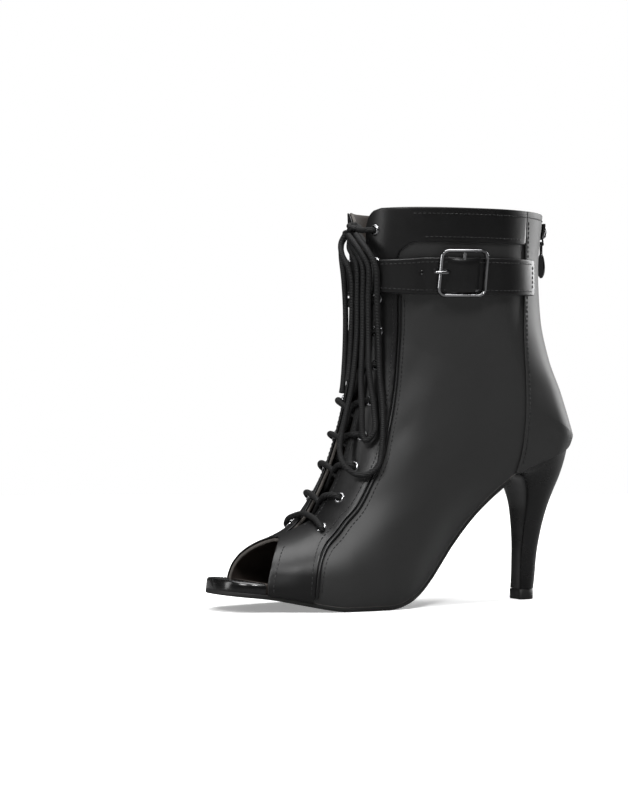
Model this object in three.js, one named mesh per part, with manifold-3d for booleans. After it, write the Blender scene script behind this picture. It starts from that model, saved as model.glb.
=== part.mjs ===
// A peep-toe, lace-up ankle boot with a stiletto heel, an ankle strap and a zip up the back: the left shoe.
// Millimetres, +Z up. The origin is the centre of the heel's tip on the floor. The toe points to -X, and the
// outer side of the foot is -Y.
import * as THREE from 'three';
import { mergeVertices } from 'three/addons/utils/BufferGeometryUtils.js';
import Module from 'manifold-3d';

const wasm = await Module();
wasm.setup();

// Driving dimensions of the boot
const shoeLength = 218;
const heelHeight = 88;
const shaftHeight = 124;
const instepHeight = 114;
const ballWidth = 82;
const waistWidth = 40;
const seatWidth = 49;
const ankleWidth = 66;
const collarWidth = 79;
const toeSpring = 9;
const clearance = 0.3;

// Walls and layers
const wallThickness = 1.8;
const overlayThickness = 0.9;
const pipingWidth = 1.8;
const pipingHeight = 1.7;
const outsoleThickness = 2.2;
const outsoleBevel = 0.8;
const insoleThickness = 2.4;
const lipThickness = 5.6;

// Openings
const throatWidth = 16;
const collarCorner = 12;
const bridgeLength = 5;

// Heel
const heelTipLength = 10.8;
const heelTipWidth = 12.6;
const topLiftHeight = 5.6;

// Strap and buckle
const strapWidth = 18.5;
const strapThickness = 1.7;
const strapCentre = 176.5;
const strapFrontTaper = 1.4;
const buckleLength = 28.6;
const buckleHeight = 25.6;
const buckleWire = 2.2;
const buckleCorner = 4.5;
const buckleX = -58;
const prongWire = 1.9;

// Zip
const zipWidth = 6.4;
const zipFoot = 100;
const sliderTop = 208.4;
const sliderLength = 8.8;
const sliderWidth = 5.2;
const sliderThickness = 2.2;
const pullLength = 19;
const pullWidth = 7.6;
const pullThickness = 1;
const pinRadius = 0.5;
const pinHole = 0.75;
const knuckleRadius = 1.3;

// Eyelets and lace
const eyeletOuter = 6.4;
const eyeletInner = 3.7;
const eyeletRim = 0.8;
const laceDiameter = 3.1;
const knotLength = 9;

const bootHeight = heelHeight + shaftHeight;
const sizes = { ball: ballWidth, waist: waistWidth, seat: seatWidth, ankle: ankleWidth, collar: collarWidth };

/** Rows of a table as objects with named columns. */
function table(columns, rows) {
  return rows.map((row) => Object.fromEntries(columns.map((name, i) => [name, row[i]])));
}

/** Smooth curve through rising values of x, without overshoot. */
function smoothCurve(xs, ys) {
  const last = xs.length - 1;
  const chord = xs.slice(1).map((x, i) => (ys[i + 1] - ys[i]) / (x - xs[i]));
  const slope = ys.map((_, i) => {
    if (i === 0) return chord[0];
    if (i === last) return chord[last - 1];
    if (chord[i - 1] * chord[i] <= 0) return 0;
    return (2 * chord[i - 1] * chord[i]) / (chord[i - 1] + chord[i]);
  });
  return (x) => {
    const at = THREE.MathUtils.clamp(x, xs[0], xs[last]);
    let i = 0;
    while (i < last - 1 && at > xs[i + 1]) i += 1;
    const h = xs[i + 1] - xs[i];
    const t = (at - xs[i]) / h;
    const a = (1 + 2 * t) * (1 - t) ** 2;
    const b = t * (1 - t) ** 2;
    const c = t * t * (3 - 2 * t);
    const d = t * t * (t - 1);
    return a * ys[i] + b * h * slope[i] + c * ys[i + 1] + d * h * slope[i + 1];
  };
}

// Outline of the sole: where along the shoe, and how far it reaches to each side as a share of a named width
const OUTLINE = table(
  ['x', 'size', 'outer', 'inner'],
  [
    [-0.761, 'ball', 0.305, 0.323],
    [-0.697, 'ball', 0.372, 0.374],
    [-0.633, 'ball', 0.433, 0.427],
    [-0.560, 'ball', 0.470, 0.457],
    [-0.486, 'ball', 0.463, 0.433],
    [-0.413, 'ball', 0.415, 0.372],
    [-0.339, 'waist', 0.688, 0.600],
    [-0.266, 'waist', 0.575, 0.488],
    [-0.193, 'waist', 0.525, 0.463],
    [-0.119, 'waist', 0.550, 0.513],
    [-0.046, 'seat', 0.490, 0.480],
    [0.028, 'seat', 0.500, 0.500],
  ],
);
const toeTip = -0.858 * shoeLength;
const seatBack = 0.119 * shoeLength;
const toeRoundFrom = OUTLINE[0].x * shoeLength;
const seatRoundFrom = OUTLINE[OUTLINE.length - 1].x * shoeLength;
const toeRoundness = 2.2;
const seatRoundness = 1.85;

// Seat line seen from the side: the height of the upper's lower edge, as a share of the toe spring or of the heel
const TOE_LINE = table(['x', 'rise'], [[-0.858, 1], [-0.761, 0.76], [-0.679, 0.42], [-0.624, 0.13], [-0.578, 0]]);
const HEEL_LINE = table(
  ['x', 'rise'],
  [
    [-0.470, 0],
    [-0.445, 0.004],
    [-0.404, 0.032],
    [-0.365, 0.087],
    [-0.335, 0.155],
    [-0.287, 0.296],
    [-0.266, 0.362],
    [-0.184, 0.580],
    [-0.124, 0.712],
    [-0.083, 0.790],
    [-0.046, 0.833],
    [0, 0.878],
    [0.064, 0.939],
    [0.119, 1],
  ],
);
const treadLine = outsoleThickness + clearance;
const seatLine = smoothCurve(
  [...TOE_LINE, ...HEEL_LINE].map((row) => row.x * shoeLength),
  [
    ...TOE_LINE.map((row) => treadLine + row.rise * toeSpring),
    ...HEEL_LINE.map((row) => treadLine + row.rise * (heelHeight - treadLine)),
  ],
);

const outlineCurves = Object.fromEntries(
  ['outer', 'inner'].map((side) => [
    side,
    smoothCurve(OUTLINE.map((row) => row.x * shoeLength), OUTLINE.map((row) => row[side] * sizes[row.size])),
  ]),
);

/** Half width of the sole at x on one side, drawn in by an inset, with round ends. */
function soleHalf(x, side, inset = 0) {
  const toe = (toeRoundFrom - x) / (toeRoundFrom - toeTip - inset);
  const seat = (x - seatRoundFrom) / (seatBack - inset - seatRoundFrom);
  const power = toe > seat ? toeRoundness : seatRoundness;
  const t = THREE.MathUtils.clamp(Math.max(toe, seat, 0), 0, 1);
  return (outlineCurves[side](x) - inset) * (1 - t ** power) ** (1 / power);
}

/** Direction along the seat line at x. */
function seatAlong(x) {
  const step = 0.02;
  return new THREE.Vector3(2 * step, 0, seatLine(x + step) - seatLine(x - step)).normalize();
}

/** Way up from the seat line at x. */
function seatUp(x) {
  const along = seatAlong(x);
  return new THREE.Vector3(-along.z, 0, along.x);
}

/** Point of the seat line at x moved along its normal. */
function smoothSeatPoint(x, offset) {
  return new THREE.Vector3(x, 0, seatLine(x)).addScaledVector(seatUp(x), offset);
}

/** Point of the seat line at x moved along its normal, on the facets between the upper's own sections. */
function seatPoint(x, offset) {
  const rows = gridRows.filter((u) => u < heelRow).map((u) => section(u).back.x);
  const next = rows.findIndex((row) => row > x);
  if (next < 1) return smoothSeatPoint(x, offset);
  const [a, b] = [rows[next - 1], rows[next]];
  return smoothSeatPoint(a, offset).lerp(smoothSeatPoint(b, offset), (x - a) / (b - a));
}

// Sections of the upper, from the toe to the collar. Each runs from a point on the front line to a point on the
// sole, or further up on the back line. frontZ counts 0 to 1 from the floor to the instep and 1 to 2 on to the
// collar, and backZ is a share of the shaft. width is a share of a named width, skew moves it to the inner side.
// full says how round the back is, as a share of the seat's own roundness.
const SECTIONS = table(
  ['frontX', 'frontZ', 'backX', 'backZ', 'size', 'width', 'skew', 'widest', 'low', 'high', 'gap', 'full'],
  [
    [-0.757, 0.290, -0.835, 0, 'ball', 0.50, 0.04, 0.38, 2.6, 1.95, 0, 1],
    [-0.685, 0.327, -0.766, 0, 'ball', 0.67, 0.03, 0.36, 2.6, 1.95, 0, 1],
    [-0.642, 0.364, -0.706, 0, 'ball', 0.80, 0.01, 0.34, 2.6, 1.90, 0.30, 1],
    [-0.605, 0.417, -0.633, 0, 'ball', 0.93, 0, 0.31, 2.8, 1.85, 0.85, 1],
    [-0.573, 0.509, -0.551, 0, 'ball', 1.00, 0, 0.30, 2.8, 1.80, 1.02, 1],
    [-0.548, 0.605, -0.477, 0, 'ball', 0.985, -0.01, 0.32, 2.6, 1.80, 1.10, 1],
    [-0.5275, 0.702, -0.404, 0, 'ball', 0.93, -0.02, 0.36, 2.4, 1.85, 1.10, 1],
    [-0.511, 0.798, -0.330, 0, 'ball', 0.875, -0.02, 0.40, 2.2, 1.95, 1.05, 1],
    [-0.495, 0.895, -0.248, 0, 'ball', 0.835, -0.015, 0.42, 2.1, 2.15, 1, 1],
    [-0.481, 1.000, -0.156, 0, 'ankle', 1.00, 0, 0.40, 2.0, 2.40, 1, 1],
    [-0.469, 1.122, -0.064, 0, 'ankle', 0.97, 0, 0.38, 2.0, 2.60, 1, 1],
    [-0.464, 1.230, 0.028, 0, 'ankle', 0.95, 0, 0.36, 2.0, 2.75, 1, 1],
    [-0.462, 1.306, 0.092, 0, 'ankle', 0.95, 0, 0.35, 2.0, 2.80, 1, 1],
    [-0.461, 1.367, 0.119, 0, 'ankle', 0.95, 0, 0.34, 1.4, 2.80, 1, 1],
    [-0.460, 1.449, 0.111, 0.089, 'ankle', 0.95, 0, 0.35, 1.4, 2.80, 1, 0.60],
    [-0.460, 1.531, 0.0975, 0.194, 'ankle', 0.965, 0, 0.37, 1.7, 2.80, 1, 0.50],
    [-0.460, 1.633, 0.0645, 0.339, 'ankle', 1.00, 0, 0.41, 2.0, 2.80, 1, 0.40],
    [-0.460, 1.755, 0.040, 0.540, 'ankle', 1.07, 0, 0.45, 2.1, 2.80, 1, 0.30],
    [-0.460, 1.878, 0.034, 0.758, 'collar', 0.96, 0, 0.48, 2.2, 2.80, 1, 0.25],
    [-0.460, 2.000, 0.047, 1, 'collar', 1.00, 0, 0.50, 2.2, 2.80, 1, 0.25],
  ],
);
const heelRow = 13;
const lastRow = SECTIONS.length - 1;
const sectionCurves = Object.fromEntries(
  Object.keys(SECTIONS[0])
    .filter((name) => name !== 'size')
    .map((name) => [name, smoothCurve(SECTIONS.map((_, i) => i), SECTIONS.map((row) => row[name]))]),
);
const sectionWidth = smoothCurve(SECTIONS.map((_, i) => i), SECTIONS.map((row) => row.width * sizes[row.size]));

/** One section of the upper: its ends, its direction and its half widths. */
function section(u) {
  const value = (name) => sectionCurves[name](u);
  const climb = value('frontZ');
  const frontZ = climb <= 1 ? climb * instepHeight : instepHeight + (climb - 1) * (bootHeight - instepHeight);
  const backX = value('backX') * shoeLength;
  const backZ = u < heelRow ? seatLine(backX) : heelHeight + value('backZ') * shaftHeight;
  const front = new THREE.Vector3(value('frontX') * shoeLength, 0, frontZ);
  const back = new THREE.Vector3(backX, 0, backZ);
  const width = sectionWidth(u);
  return {
    front,
    back,
    outer: width * (0.5 - value('skew')),
    inner: width * (0.5 + value('skew')),
    roundBack: u < heelRow ? 0 : backX - seatBack,
    widest: value('widest'),
    low: value('low'),
    high: value('high'),
    gap: (value('gap') * throatWidth) / 2,
    full: value('full'),
  };
}

/** Point of the upper's outer face. turn runs from -1 at the outer foot edge over 0 at the front line to 1. */
function outerPoint(u, turn) {
  const s = section(u);
  const side = turn < 0 ? -1 : 1;
  const half = turn < 0 ? s.outer : s.inner;
  const angle = (1 - 2 * Math.abs(turn)) * (Math.PI / 2);
  if (angle >= 0) {
    const up = Math.sin(angle) ** (2 / s.high);
    const y = Math.abs(turn) < 1e-9 ? 0 : half * Math.cos(angle) ** (2 / s.high);
    return s.back.clone().lerp(s.front, s.widest + (1 - s.widest) * up).setY(side * y);
  }
  const climb = 1 + Math.sin(angle);
  const point = s.back.clone().lerp(s.front, s.widest * climb);
  const foot = s.full * soleHalf(point.x - s.roundBack, turn < 0 ? 'outer' : 'inner');
  return point.setY(side * (foot + (half - foot) * (1 - (1 - climb) ** s.low)));
}

// The steps of the grid that the upper and every layer on it share
const stepsPerRow = 0.95;
const rowSteps = Math.round(lastRow * stepsPerRow);
const aroundHeel = [-1.4, -0.95, -0.62, -0.34, -0.12, 0, 0.5].map((step) => heelRow + step);
const gridRows = Array.from({ length: rowSteps + 1 }, (_, i) => (i * lastRow) / rowSteps)
  .filter((u) => u < aroundHeel[0] - 0.3 || u > aroundHeel[aroundHeel.length - 1] + 0.3)
  .concat(aroundHeel)
  .sort((a, b) => a - b);
const lowTurns = [1, 0.92, 0.80, 0.64];
const highTurns = [0.49, 0.38, 0.28, 0.19, 0.115, 0.045];
const turns = [...lowTurns.map((t) => -t), ...highTurns.map((t) => -t), 0, ...highTurns.toReversed(), ...lowTurns.toReversed()];

/** The grid of points on the upper's outer face and the way outwards at each. */
function faceGrid() {
  const points = gridRows.map((u) => turns.map((turn) => outerPoint(u, turn)));
  const cols = turns.length - 1;
  const rows = gridRows.length - 1;
  const outward = points.map((row, i) =>
    row.map((point, j) => {
      const closed = gridRows[i] >= heelRow;
      const edge = j === 0 || j === cols;
      const before = points[Math.max(i - 1, 0)][j];
      const after = points[Math.min(i + 1, rows)][j];
      const along = after.clone().sub(before);
      if (edge && gridRows[i] === heelRow) return seatAlong(point.x);
      if (edge && !closed) {
        const out = new THREE.Vector3().crossVectors(along, seatUp(point.x)).normalize();
        return out.multiplyScalar(Math.sign(out.y * point.y) || 1);
      }
      const left = j === 0 ? row[cols - 1] : row[j - 1];
      const right = j === cols ? row[1] : row[j + 1];
      const normal = new THREE.Vector3().crossVectors(right.clone().sub(left), along).normalize();
      if (i === rows) normal.setZ(0).normalize();
      const s = section(gridRows[i]);
      const centre = s.back.clone().lerp(s.front, s.widest);
      return normal.multiplyScalar(Math.sign(normal.dot(point.clone().sub(centre))) || 1);
    }),
  );
  return { points, outward };
}
const face = faceGrid();

/** A mesh from corner points and triangles, without the triangles that have no area. */
function meshFrom(corners, triangles) {
  const geometry = new THREE.BufferGeometry();
  geometry.setAttribute('position', new THREE.Float32BufferAttribute(corners.flatMap((p) => [p.x, p.y, p.z]), 3));
  geometry.setIndex(triangles.flat());
  const merged = mergeVertices(geometry, 1e-4);
  const index = Array.from(merged.index.array);
  const kept = [];
  for (let i = 0; i < index.length; i += 3) {
    const [a, b, c] = index.slice(i, i + 3);
    if (a !== b && b !== c && a !== c) kept.push(a, b, c);
  }
  merged.setIndex(kept);
  return merged;
}

/** A solid for cutting and joining, from any closed geometry. */
function toSolid(geometry) {
  const bare = geometry.clone();
  bare.deleteAttribute('normal');
  bare.deleteAttribute('uv');
  const merged = mergeVertices(bare, 1e-4);
  return new wasm.Manifold(
    new wasm.Mesh({
      numProp: 3,
      vertProperties: new Float32Array(merged.attributes.position.array),
      triVerts: new Uint32Array(merged.index.array),
    }),
  );
}

/** The geometry of a solid. */
function toGeometry(solid) {
  const mesh = solid.getMesh();
  const geometry = new THREE.BufferGeometry();
  geometry.setAttribute('position', new THREE.BufferAttribute(mesh.vertProperties, 3));
  geometry.setIndex(new THREE.BufferAttribute(mesh.triVerts, 1));
  return geometry;
}

/** The closed wall between two distances from the upper's outer face, further out by the lift at each turn. */
function wallBetween(inside, outside, lift = () => 0) {
  const { points, outward } = face;
  const rows = gridRows.length;
  const cols = turns.length;
  const layer = (distance) =>
    points.flatMap((row, i) =>
      row.map((p, j) => p.clone().addScaledVector(outward[i][j], distance + lift(Math.abs(turns[j])))),
    );
  const corners = [...layer(outside), ...layer(inside)];
  const at = (i, j, deep) => (deep ? rows * cols : 0) + i * cols + j;
  const triangles = [];
  const quad = (a, b, c, d) => triangles.push([a, b, c], [a, c, d]);
  for (let i = 0; i < rows - 1; i += 1) {
    for (let j = 0; j < cols - 1; j += 1) {
      quad(at(i, j, 0), at(i, j + 1, 0), at(i + 1, j + 1, 0), at(i + 1, j, 0));
      quad(at(i, j, 1), at(i + 1, j, 1), at(i + 1, j + 1, 1), at(i, j + 1, 1));
    }
    if (gridRows[i] < heelRow) {
      quad(at(i, 0, 0), at(i + 1, 0, 0), at(i + 1, 0, 1), at(i, 0, 1));
      quad(at(i, cols - 1, 0), at(i, cols - 1, 1), at(i + 1, cols - 1, 1), at(i + 1, cols - 1, 0));
    }
  }
  for (let j = 0; j < cols - 1; j += 1) {
    quad(at(0, j, 0), at(0, j, 1), at(0, j + 1, 1), at(0, j + 1, 0));
    quad(at(rows - 1, j, 0), at(rows - 1, j + 1, 0), at(rows - 1, j + 1, 1), at(rows - 1, j, 1));
  }
  return toSolid(facingOut(meshFrom(corners, triangles)));
}

/** A solid through rings of equal length, with ladder caps between the two halves of its end rings. */
function loft(rings) {
  const count = rings[0].length;
  const corners = rings.flat();
  const triangles = [];
  for (let i = 0; i < rings.length - 1; i += 1) {
    for (let k = 0; k < count; k += 1) {
      const next = (k + 1) % count;
      triangles.push([i * count + k, i * count + next, (i + 1) * count + next]);
      triangles.push([i * count + k, (i + 1) * count + next, (i + 1) * count + k]);
    }
  }
  const cap = (ring, turned) => {
    for (let k = 0; k < Math.floor((count - 1) / 2); k += 1) {
      const [a, b, c, d] = [k, k + 1, count - 2 - k, count - 1 - k].map((n) => ring * count + n);
      for (const triangle of [[a, c, b], [a, d, c]]) triangles.push(turned ? triangle.toReversed() : triangle);
    }
  };
  cap(0, false);
  cap(rings.length - 1, true);
  return meshFrom(corners, triangles);
}

/** The geometry turned inside out where its faces point inwards. */
function facingOut(geometry) {
  const p = geometry.attributes.position;
  const index = geometry.index.array;
  const corner = (n) => new THREE.Vector3().fromBufferAttribute(p, index[n]);
  let volume = 0;
  for (let i = 0; i < index.length; i += 3) volume += corner(i).dot(corner(i + 1).cross(corner(i + 2)));
  if (volume < 0) geometry.setIndex(Array.from(index).toReversed());
  return geometry;
}

const loftSolid = (rings) => toSolid(facingOut(loft(rings)));

/** A prism across the boot between two y planes, from an outline of [x, z] pairs seen from the side. */
function sidePrism(outline, fromY, toY) {
  const shape = new THREE.Shape(outline.map(([x, z]) => new THREE.Vector2(x, z)));
  const geometry = new THREE.ExtrudeGeometry(shape, { depth: toY - fromY, bevelEnabled: false });
  geometry.rotateX(Math.PI / 2);
  geometry.translate(0, toY, 0);
  return toSolid(geometry);
}

/** A box between two corners. */
function boxBetween(low, high) {
  const size = high.map((v, i) => v - low[i]);
  const geometry = new THREE.BoxGeometry(...size);
  geometry.translate(...low.map((v, i) => v + size[i] / 2));
  return toSolid(geometry);
}

const beyond = 60;
const sideReach = [-beyond, beyond];

/** The slot of the throat, with the collar's round corners at its top. */
function throatCutter() {
  const outside = 6;
  const deep = 9;
  const cornerSteps = [1, 0.75, 0.5, 0.28, 0.1, 0];
  const samples = 79;
  const frontCurve = Array.from({ length: samples + 1 }, (_, i) => (i * lastRow) / samples);
  const rowAtHeight = (z) => frontCurve.find((u) => section(u).front.z >= z) ?? lastRow;
  const bridgeEnd = section(1).front.x + bridgeLength;
  const start = frontCurve.find((u) => section(u).front.x >= bridgeEnd);
  const collarStart = rowAtHeight(bootHeight - collarCorner);
  const plain = gridRows.filter((u) => u > start + 0.2 && u < collarStart - 0.2);
  const ring = (s, half, lift = 0) => {
    const out = s.front.clone().sub(s.back).normalize();
    const top = s.front.clone().addScaledVector(out, outside);
    const low = s.front.clone().addScaledVector(out, -deep);
    return [[top, -half], [low, -half], [low, half], [top, half]].map(
      ([p, y]) => new THREE.Vector3(p.x, y, p.z + lift),
    );
  };
  const rings = [start, ...plain].map((u) => ring(section(u), Math.max(section(u).gap, 0.6)));
  for (const step of cornerSteps) {
    const below = collarCorner * step;
    const widening = collarCorner - Math.sqrt(collarCorner ** 2 - (collarCorner - below) ** 2);
    const s = section(lastRow);
    rings.push(ring(s, throatWidth / 2 + widening, -below));
  }
  rings.push(ring(section(lastRow), throatWidth / 2 + collarCorner, outside));
  return loftSolid(rings);
}

// Edge of the peep toe seen from the side, as shares of the toe's length and of the bridge's height
const peepBase = -0.7595 * shoeLength;
const PEEP_EDGE = table(
  ['back', 'up'],
  [[0, 0], [0, 0.40], [0.09, 0.54], [0.29, 0.72], [0.49, 0.83], [0.72, 0.92], [1, 1], [1.25, 1.15]],
);

/** Everything in front of the peep toe's edge. */
function peepCutter() {
  const bridge = section(1).front;
  const edge = PEEP_EDGE.map(({ back, up }) => [peepBase + back * (bridge.x - peepBase), up * bridge.z]);
  const farther = toeTip - 10;
  const top = edge[edge.length - 1][1];
  return sidePrism([[farther, -5], [peepBase, -5], ...edge, [farther, top]], ...sideReach);
}

// Seam between the eyestay and the quarter, from the collar band to the sole, seen from the side
const EYESTAY_SEAM = table(
  ['x', 'frontZ'],
  [
    [-0.398, 1.808],
    [-0.4119, 1.776],
    [-0.4173, 1.731],
    [-0.4110, 1.521],
    [-0.4088, 1.342],
    [-0.4142, 1.197],
    [-0.4224, 1.053],
    [-0.4371, 0.908],
    [-0.4489, 0.828],
    [-0.470, 0.690],
    [-0.494, 0.601],
    [-0.5328, 0.479],
    [-0.5673, 0.407],
    [-0.5915, 0.355],
    [-0.6250, 0.293],
    [-0.6484, 0.220],
    [-0.6583, 0.132],
    [-0.661, -0.05],
  ],
);
// Seam between the quarter and the back panel
const BACK_SEAM = table(
  ['x', 'backZ'],
  [
    [-0.078, 1.05],
    [-0.074, 0.790],
    [-0.076, 0.556],
    [-0.077, 0.409],
    [-0.073, 0.260],
    [-0.0735, 0.100],
    [-0.0765, -0.060],
    [-0.082, -0.150],
    [-0.092, -0.300],
  ],
);
const collarBandLow = 1.822;

/** Height of a front share: 0 to 1 up to the instep, 1 to 2 on to the collar. */
function frontHeight(share) {
  return share <= 1 ? share * instepHeight : instepHeight + (share - 1) * (bootHeight - instepHeight);
}

/** A smooth line of [x, z] pairs through the rows of a seam. */
function smoothSeam(rows, count) {
  const line = new THREE.SplineCurve(rows.map(([x, z]) => new THREE.Vector2(x, z)));
  return line.getSpacedPoints(count).map((p) => [p.x, p.y]);
}

const seamSteps = 17;
const eyestayRows = EYESTAY_SEAM.map((row) => [row.x * shoeLength, frontHeight(row.frontZ)]);
const eyestaySeam = smoothSeam(eyestayRows, seamSteps);
const backSeam = BACK_SEAM.map((row) => [row.x * shoeLength, heelHeight + row.backZ * shaftHeight]);
const bandLow = frontHeight(collarBandLow);
const bandEnd = [backSeam[0][0] - clearance, bandLow];
const bandStart = [-0.37 * shoeLength, bandLow];

/** A polyline moved sideways, to the right of its direction. */
function movedLine(line, distance) {
  return line.map((point, i) => {
    const [ax, az] = line[Math.max(i - 1, 0)];
    const [bx, bz] = line[Math.min(i + 1, line.length - 1)];
    const long = Math.hypot(bx - ax, bz - az);
    return [point[0] + (distance * (bz - az)) / long, point[1] - (distance * (bx - ax)) / long];
  });
}

const edgeLine = [bandEnd, bandStart, ...eyestaySeam];
const upperAir = bootHeight + 20;
const frontAir = toeTip - 20;

/** Side outline of the eyestay with the collar band. */
function eyestayOutline() {
  return [...edgeLine, [frontAir, eyestaySeam[eyestaySeam.length - 1][1]], [frontAir, upperAir], [bandEnd[0], upperAir]];
}

/** Side outline of the piping beside the eyestay's edge, from under the strap to the sole. */
function pipingOutline() {
  const top = strapCentre - strapWidth / 2 - clearance;
  const below = eyestaySeam.filter(([, z]) => z < top);
  const seam = [[below[0][0], top], ...below];
  return [...movedLine(seam, -clearance), ...movedLine(seam, -clearance - pipingWidth).toReversed()];
}

/** Side outline of the back panel. */
function backOutline() {
  const behind = seatBack + beyond;
  return [...backSeam, [behind, backSeam[backSeam.length - 1][1]], [behind, backSeam[0][1]]];
}

const halves = { outer: [-beyond, -clearance / 2], inner: [clearance / 2, beyond] };
const throat = throatCutter();
const peep = peepCutter();
const overlayTop = clearance + overlayThickness;
const overlay = wallBetween(clearance, overlayTop);

/** The upper's outer face at a section and a turn: the point there and the way outwards. */
function faceAt(u, turn) {
  const step = 0.01;
  const s = section(u);
  const point = outerPoint(u, turn);
  const across = outerPoint(u, turn + step).sub(outerPoint(u, turn - step));
  const along = outerPoint(Math.min(u + step, lastRow), turn).sub(outerPoint(u - step, turn));
  const out = new THREE.Vector3().crossVectors(across, along).normalize();
  const centre = s.back.clone().lerp(s.front, s.widest);
  return { point, out: out.multiplyScalar(Math.sign(out.dot(point.clone().sub(centre))) || 1) };
}

/** The upper's outer face at a section, at a distance y from its middle. */
function facePlace(u, y) {
  const s = section(u);
  const half = y < 0 ? s.outer : s.inner;
  const angle = Math.acos((Math.abs(y) / half) ** (s.high / 2));
  return faceAt(u, (Math.sign(y) * (1 - angle / (Math.PI / 2))) / 2);
}

/** The value between two ends at which a rising function reaches a target. */
function reach(rising, target, low, high) {
  let [a, b] = [low, high];
  while (b - a > 1e-4 * (high - low)) {
    const middle = (a + b) / 2;
    if (rising(middle) < target) a = middle;
    else b = middle;
  }
  return (a + b) / 2;
}

/** The shaft's outer face on one side, seen from the side at x and z. */
function sidePlace(x, z, side) {
  const rowAt = (turn) => reach((u) => outerPoint(u, turn).z, z, heelRow - 2, lastRow);
  const turn = side * reach((t) => outerPoint(rowAt(side * t), side * t).x, x, 0, 1);
  return faceAt(rowAt(turn), turn);
}

// Eyelets from the collar down: height as a share of the boot's, distance from the middle as a share of the throat
const EYELETS = table(
  ['up', 'away'],
  [
    [0.947, 0.975],
    [0.866, 0.94],
    [0.776, 0.92],
    [0.693, 0.92],
    [0.608, 1.00],
    [0.5175, 1.05],
    [0.430, 1.05],
    [0.351, 1.12],
    [0.274, 1.14],
    [0.201, 1.22],
  ],
);
const eyeletRows = EYELETS.map((row) => {
  const away = row.away * throatWidth;
  return { away, u: reach((u) => facePlace(u, -away).point.z, row.up * bootHeight, 2, lastRow) };
});

/** Where each eyelet of one side sits. */
function eyelets(side) {
  return eyeletRows.map(({ u, away }) => facePlace(u, side * away));
}

/** A turned ring through a profile of [radius, height] pairs, set on a place with its axis outwards. */
function turnedAt(profile, place, segments) {
  const points = [...profile, profile[0]].map(([r, h]) => new THREE.Vector2(r, h));
  const geometry = new THREE.LatheGeometry(points, segments);
  const turn = new THREE.Quaternion().setFromUnitVectors(new THREE.Vector3(0, 1, 0), place.out);
  geometry.applyQuaternion(turn);
  geometry.translate(...place.point.toArray());
  return facingOut(meshFrom(cornersOf(geometry), trianglesOf(geometry)));
}

const cornersOf = (geometry) => {
  const p = geometry.attributes.position;
  return Array.from({ length: p.count }, (_, i) => new THREE.Vector3().fromBufferAttribute(p, i));
};
const trianglesOf = (geometry) => {
  const index = Array.from(geometry.index.array);
  return Array.from({ length: index.length / 3 }, (_, i) => index.slice(3 * i, 3 * i + 3));
};

const holeRadius = eyeletInner / 2 + 0.75;
const eyeletSides = 8;
const holeSides = 5;

/** The holes of one side's eyelets. */
function eyeletHoles(side) {
  const through = 6;
  return eyelets(side).map((place) =>
    toSolid(turnedAt([[0, -through], [holeRadius, -through], [holeRadius, through], [0, through]], place, holeSides)),
  );
}

const holes = { outer: eyeletHoles(-1), inner: eyeletHoles(1) };
const cutBy = (solid, cutters) => cutters.reduce((rest, cutter) => rest.subtract(cutter), solid);

/** The hollow upper: one wall, open underneath and at the collar, throat and peep toe. */
function buildUpper() {
  const shell = wallBetween(-wallThickness, 0);
  return toGeometry(cutBy(shell, [throat, peep, ...holes.outer, ...holes.inner]));
}

/** One side's eyestay with its collar band. */
function buildEyestay(side) {
  const region = sidePrism(eyestayOutline(), ...halves[side]);
  return toGeometry(cutBy(overlay.intersect(region), [throat, peep, ...holes[side]]));
}

/** One side's piping along the eyestay's edge. */
function buildPiping(side) {
  const region = sidePrism(pipingOutline(), ...halves[side]);
  return toGeometry(cutBy(wallBetween(clearance, clearance + pipingHeight).intersect(region), [peep]));
}

/** One side's back panel, cut back from the zip. */
function buildBackPanel(side) {
  const region = sidePrism(backOutline(), ...halves[side]);
  const half = zipWidth / 2 + clearance;
  const slot = boxBetween([0, -half, zipFoot - clearance], [beyond, half, upperAir]);
  return toGeometry(cutBy(overlay.intersect(region), [slot]));
}

/** The zip's closed chain and tapes up the middle of the back. */
function buildZipTape() {
  const top = bootHeight - 1.5;
  const column = boxBetween([0, -zipWidth / 2, zipFoot], [beyond, zipWidth / 2, top]);
  return toGeometry(overlay.intersect(column));
}

/** Points along the shoe for the sole's rings: dense at the round ends, and at both ends of the flat tread. */
function stations(from, to, inset) {
  const tip = toeTip + inset;
  const end = seatBack - inset;
  const round = [0, 0.012, 0.06, 0.16, 0.32, 0.55, 0.78];
  const toe = round.map((t) => tip + t * (toeRoundFrom - tip));
  const seat = round.map((t) => end - t * (end - seatRoundFrom));
  const tread = [TOE_LINE[TOE_LINE.length - 1], HEEL_LINE[0]].map((row) => row.x * shoeLength);
  const rows = gridRows.filter((u) => u < heelRow).map((u) => section(u).back.x);
  const all = [...toe, ...tread, ...rows, ...seat].filter((x) => x > from + 0.4 && x < to - 0.4);
  const sorted = [from, ...all, to].sort((a, b) => a - b);
  return sorted.filter((x, i) => i === 0 || i === sorted.length - 1 || x - sorted[i - 1] > 0.25);
}

/** Ring of a sole layer at x between two points over the seat line, drawn in by an inset, bevelled below. */
function soleRing(x, bottom, top, inset, bevel = 0) {
  const edge = (p, side, sign, less) => new THREE.Vector3(p.x, sign * Math.max(soleHalf(x, side, inset) - less, 0.2), p.z);
  return [edge(top, 'outer', -1, 0), edge(bottom, 'outer', -1, bevel), edge(bottom, 'inner', 1, bevel), edge(top, 'inner', 1, 0)];
}

const breastX = -0.096 * shoeLength;

/** The thin outsole from the toe to the heel's breast, with its flat tread on the floor. */
function buildOutsole() {
  const places = stations(toeTip + 0.1, breastX - clearance, 0);
  const underside = (x) => smoothSeatPoint(x, -clearance - outsoleThickness);
  const rings = places.map((x) => soleRing(x, underside(x), seatPoint(x, -clearance), 0, outsoleBevel));
  return facingOut(loft(rings));
}

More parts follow.
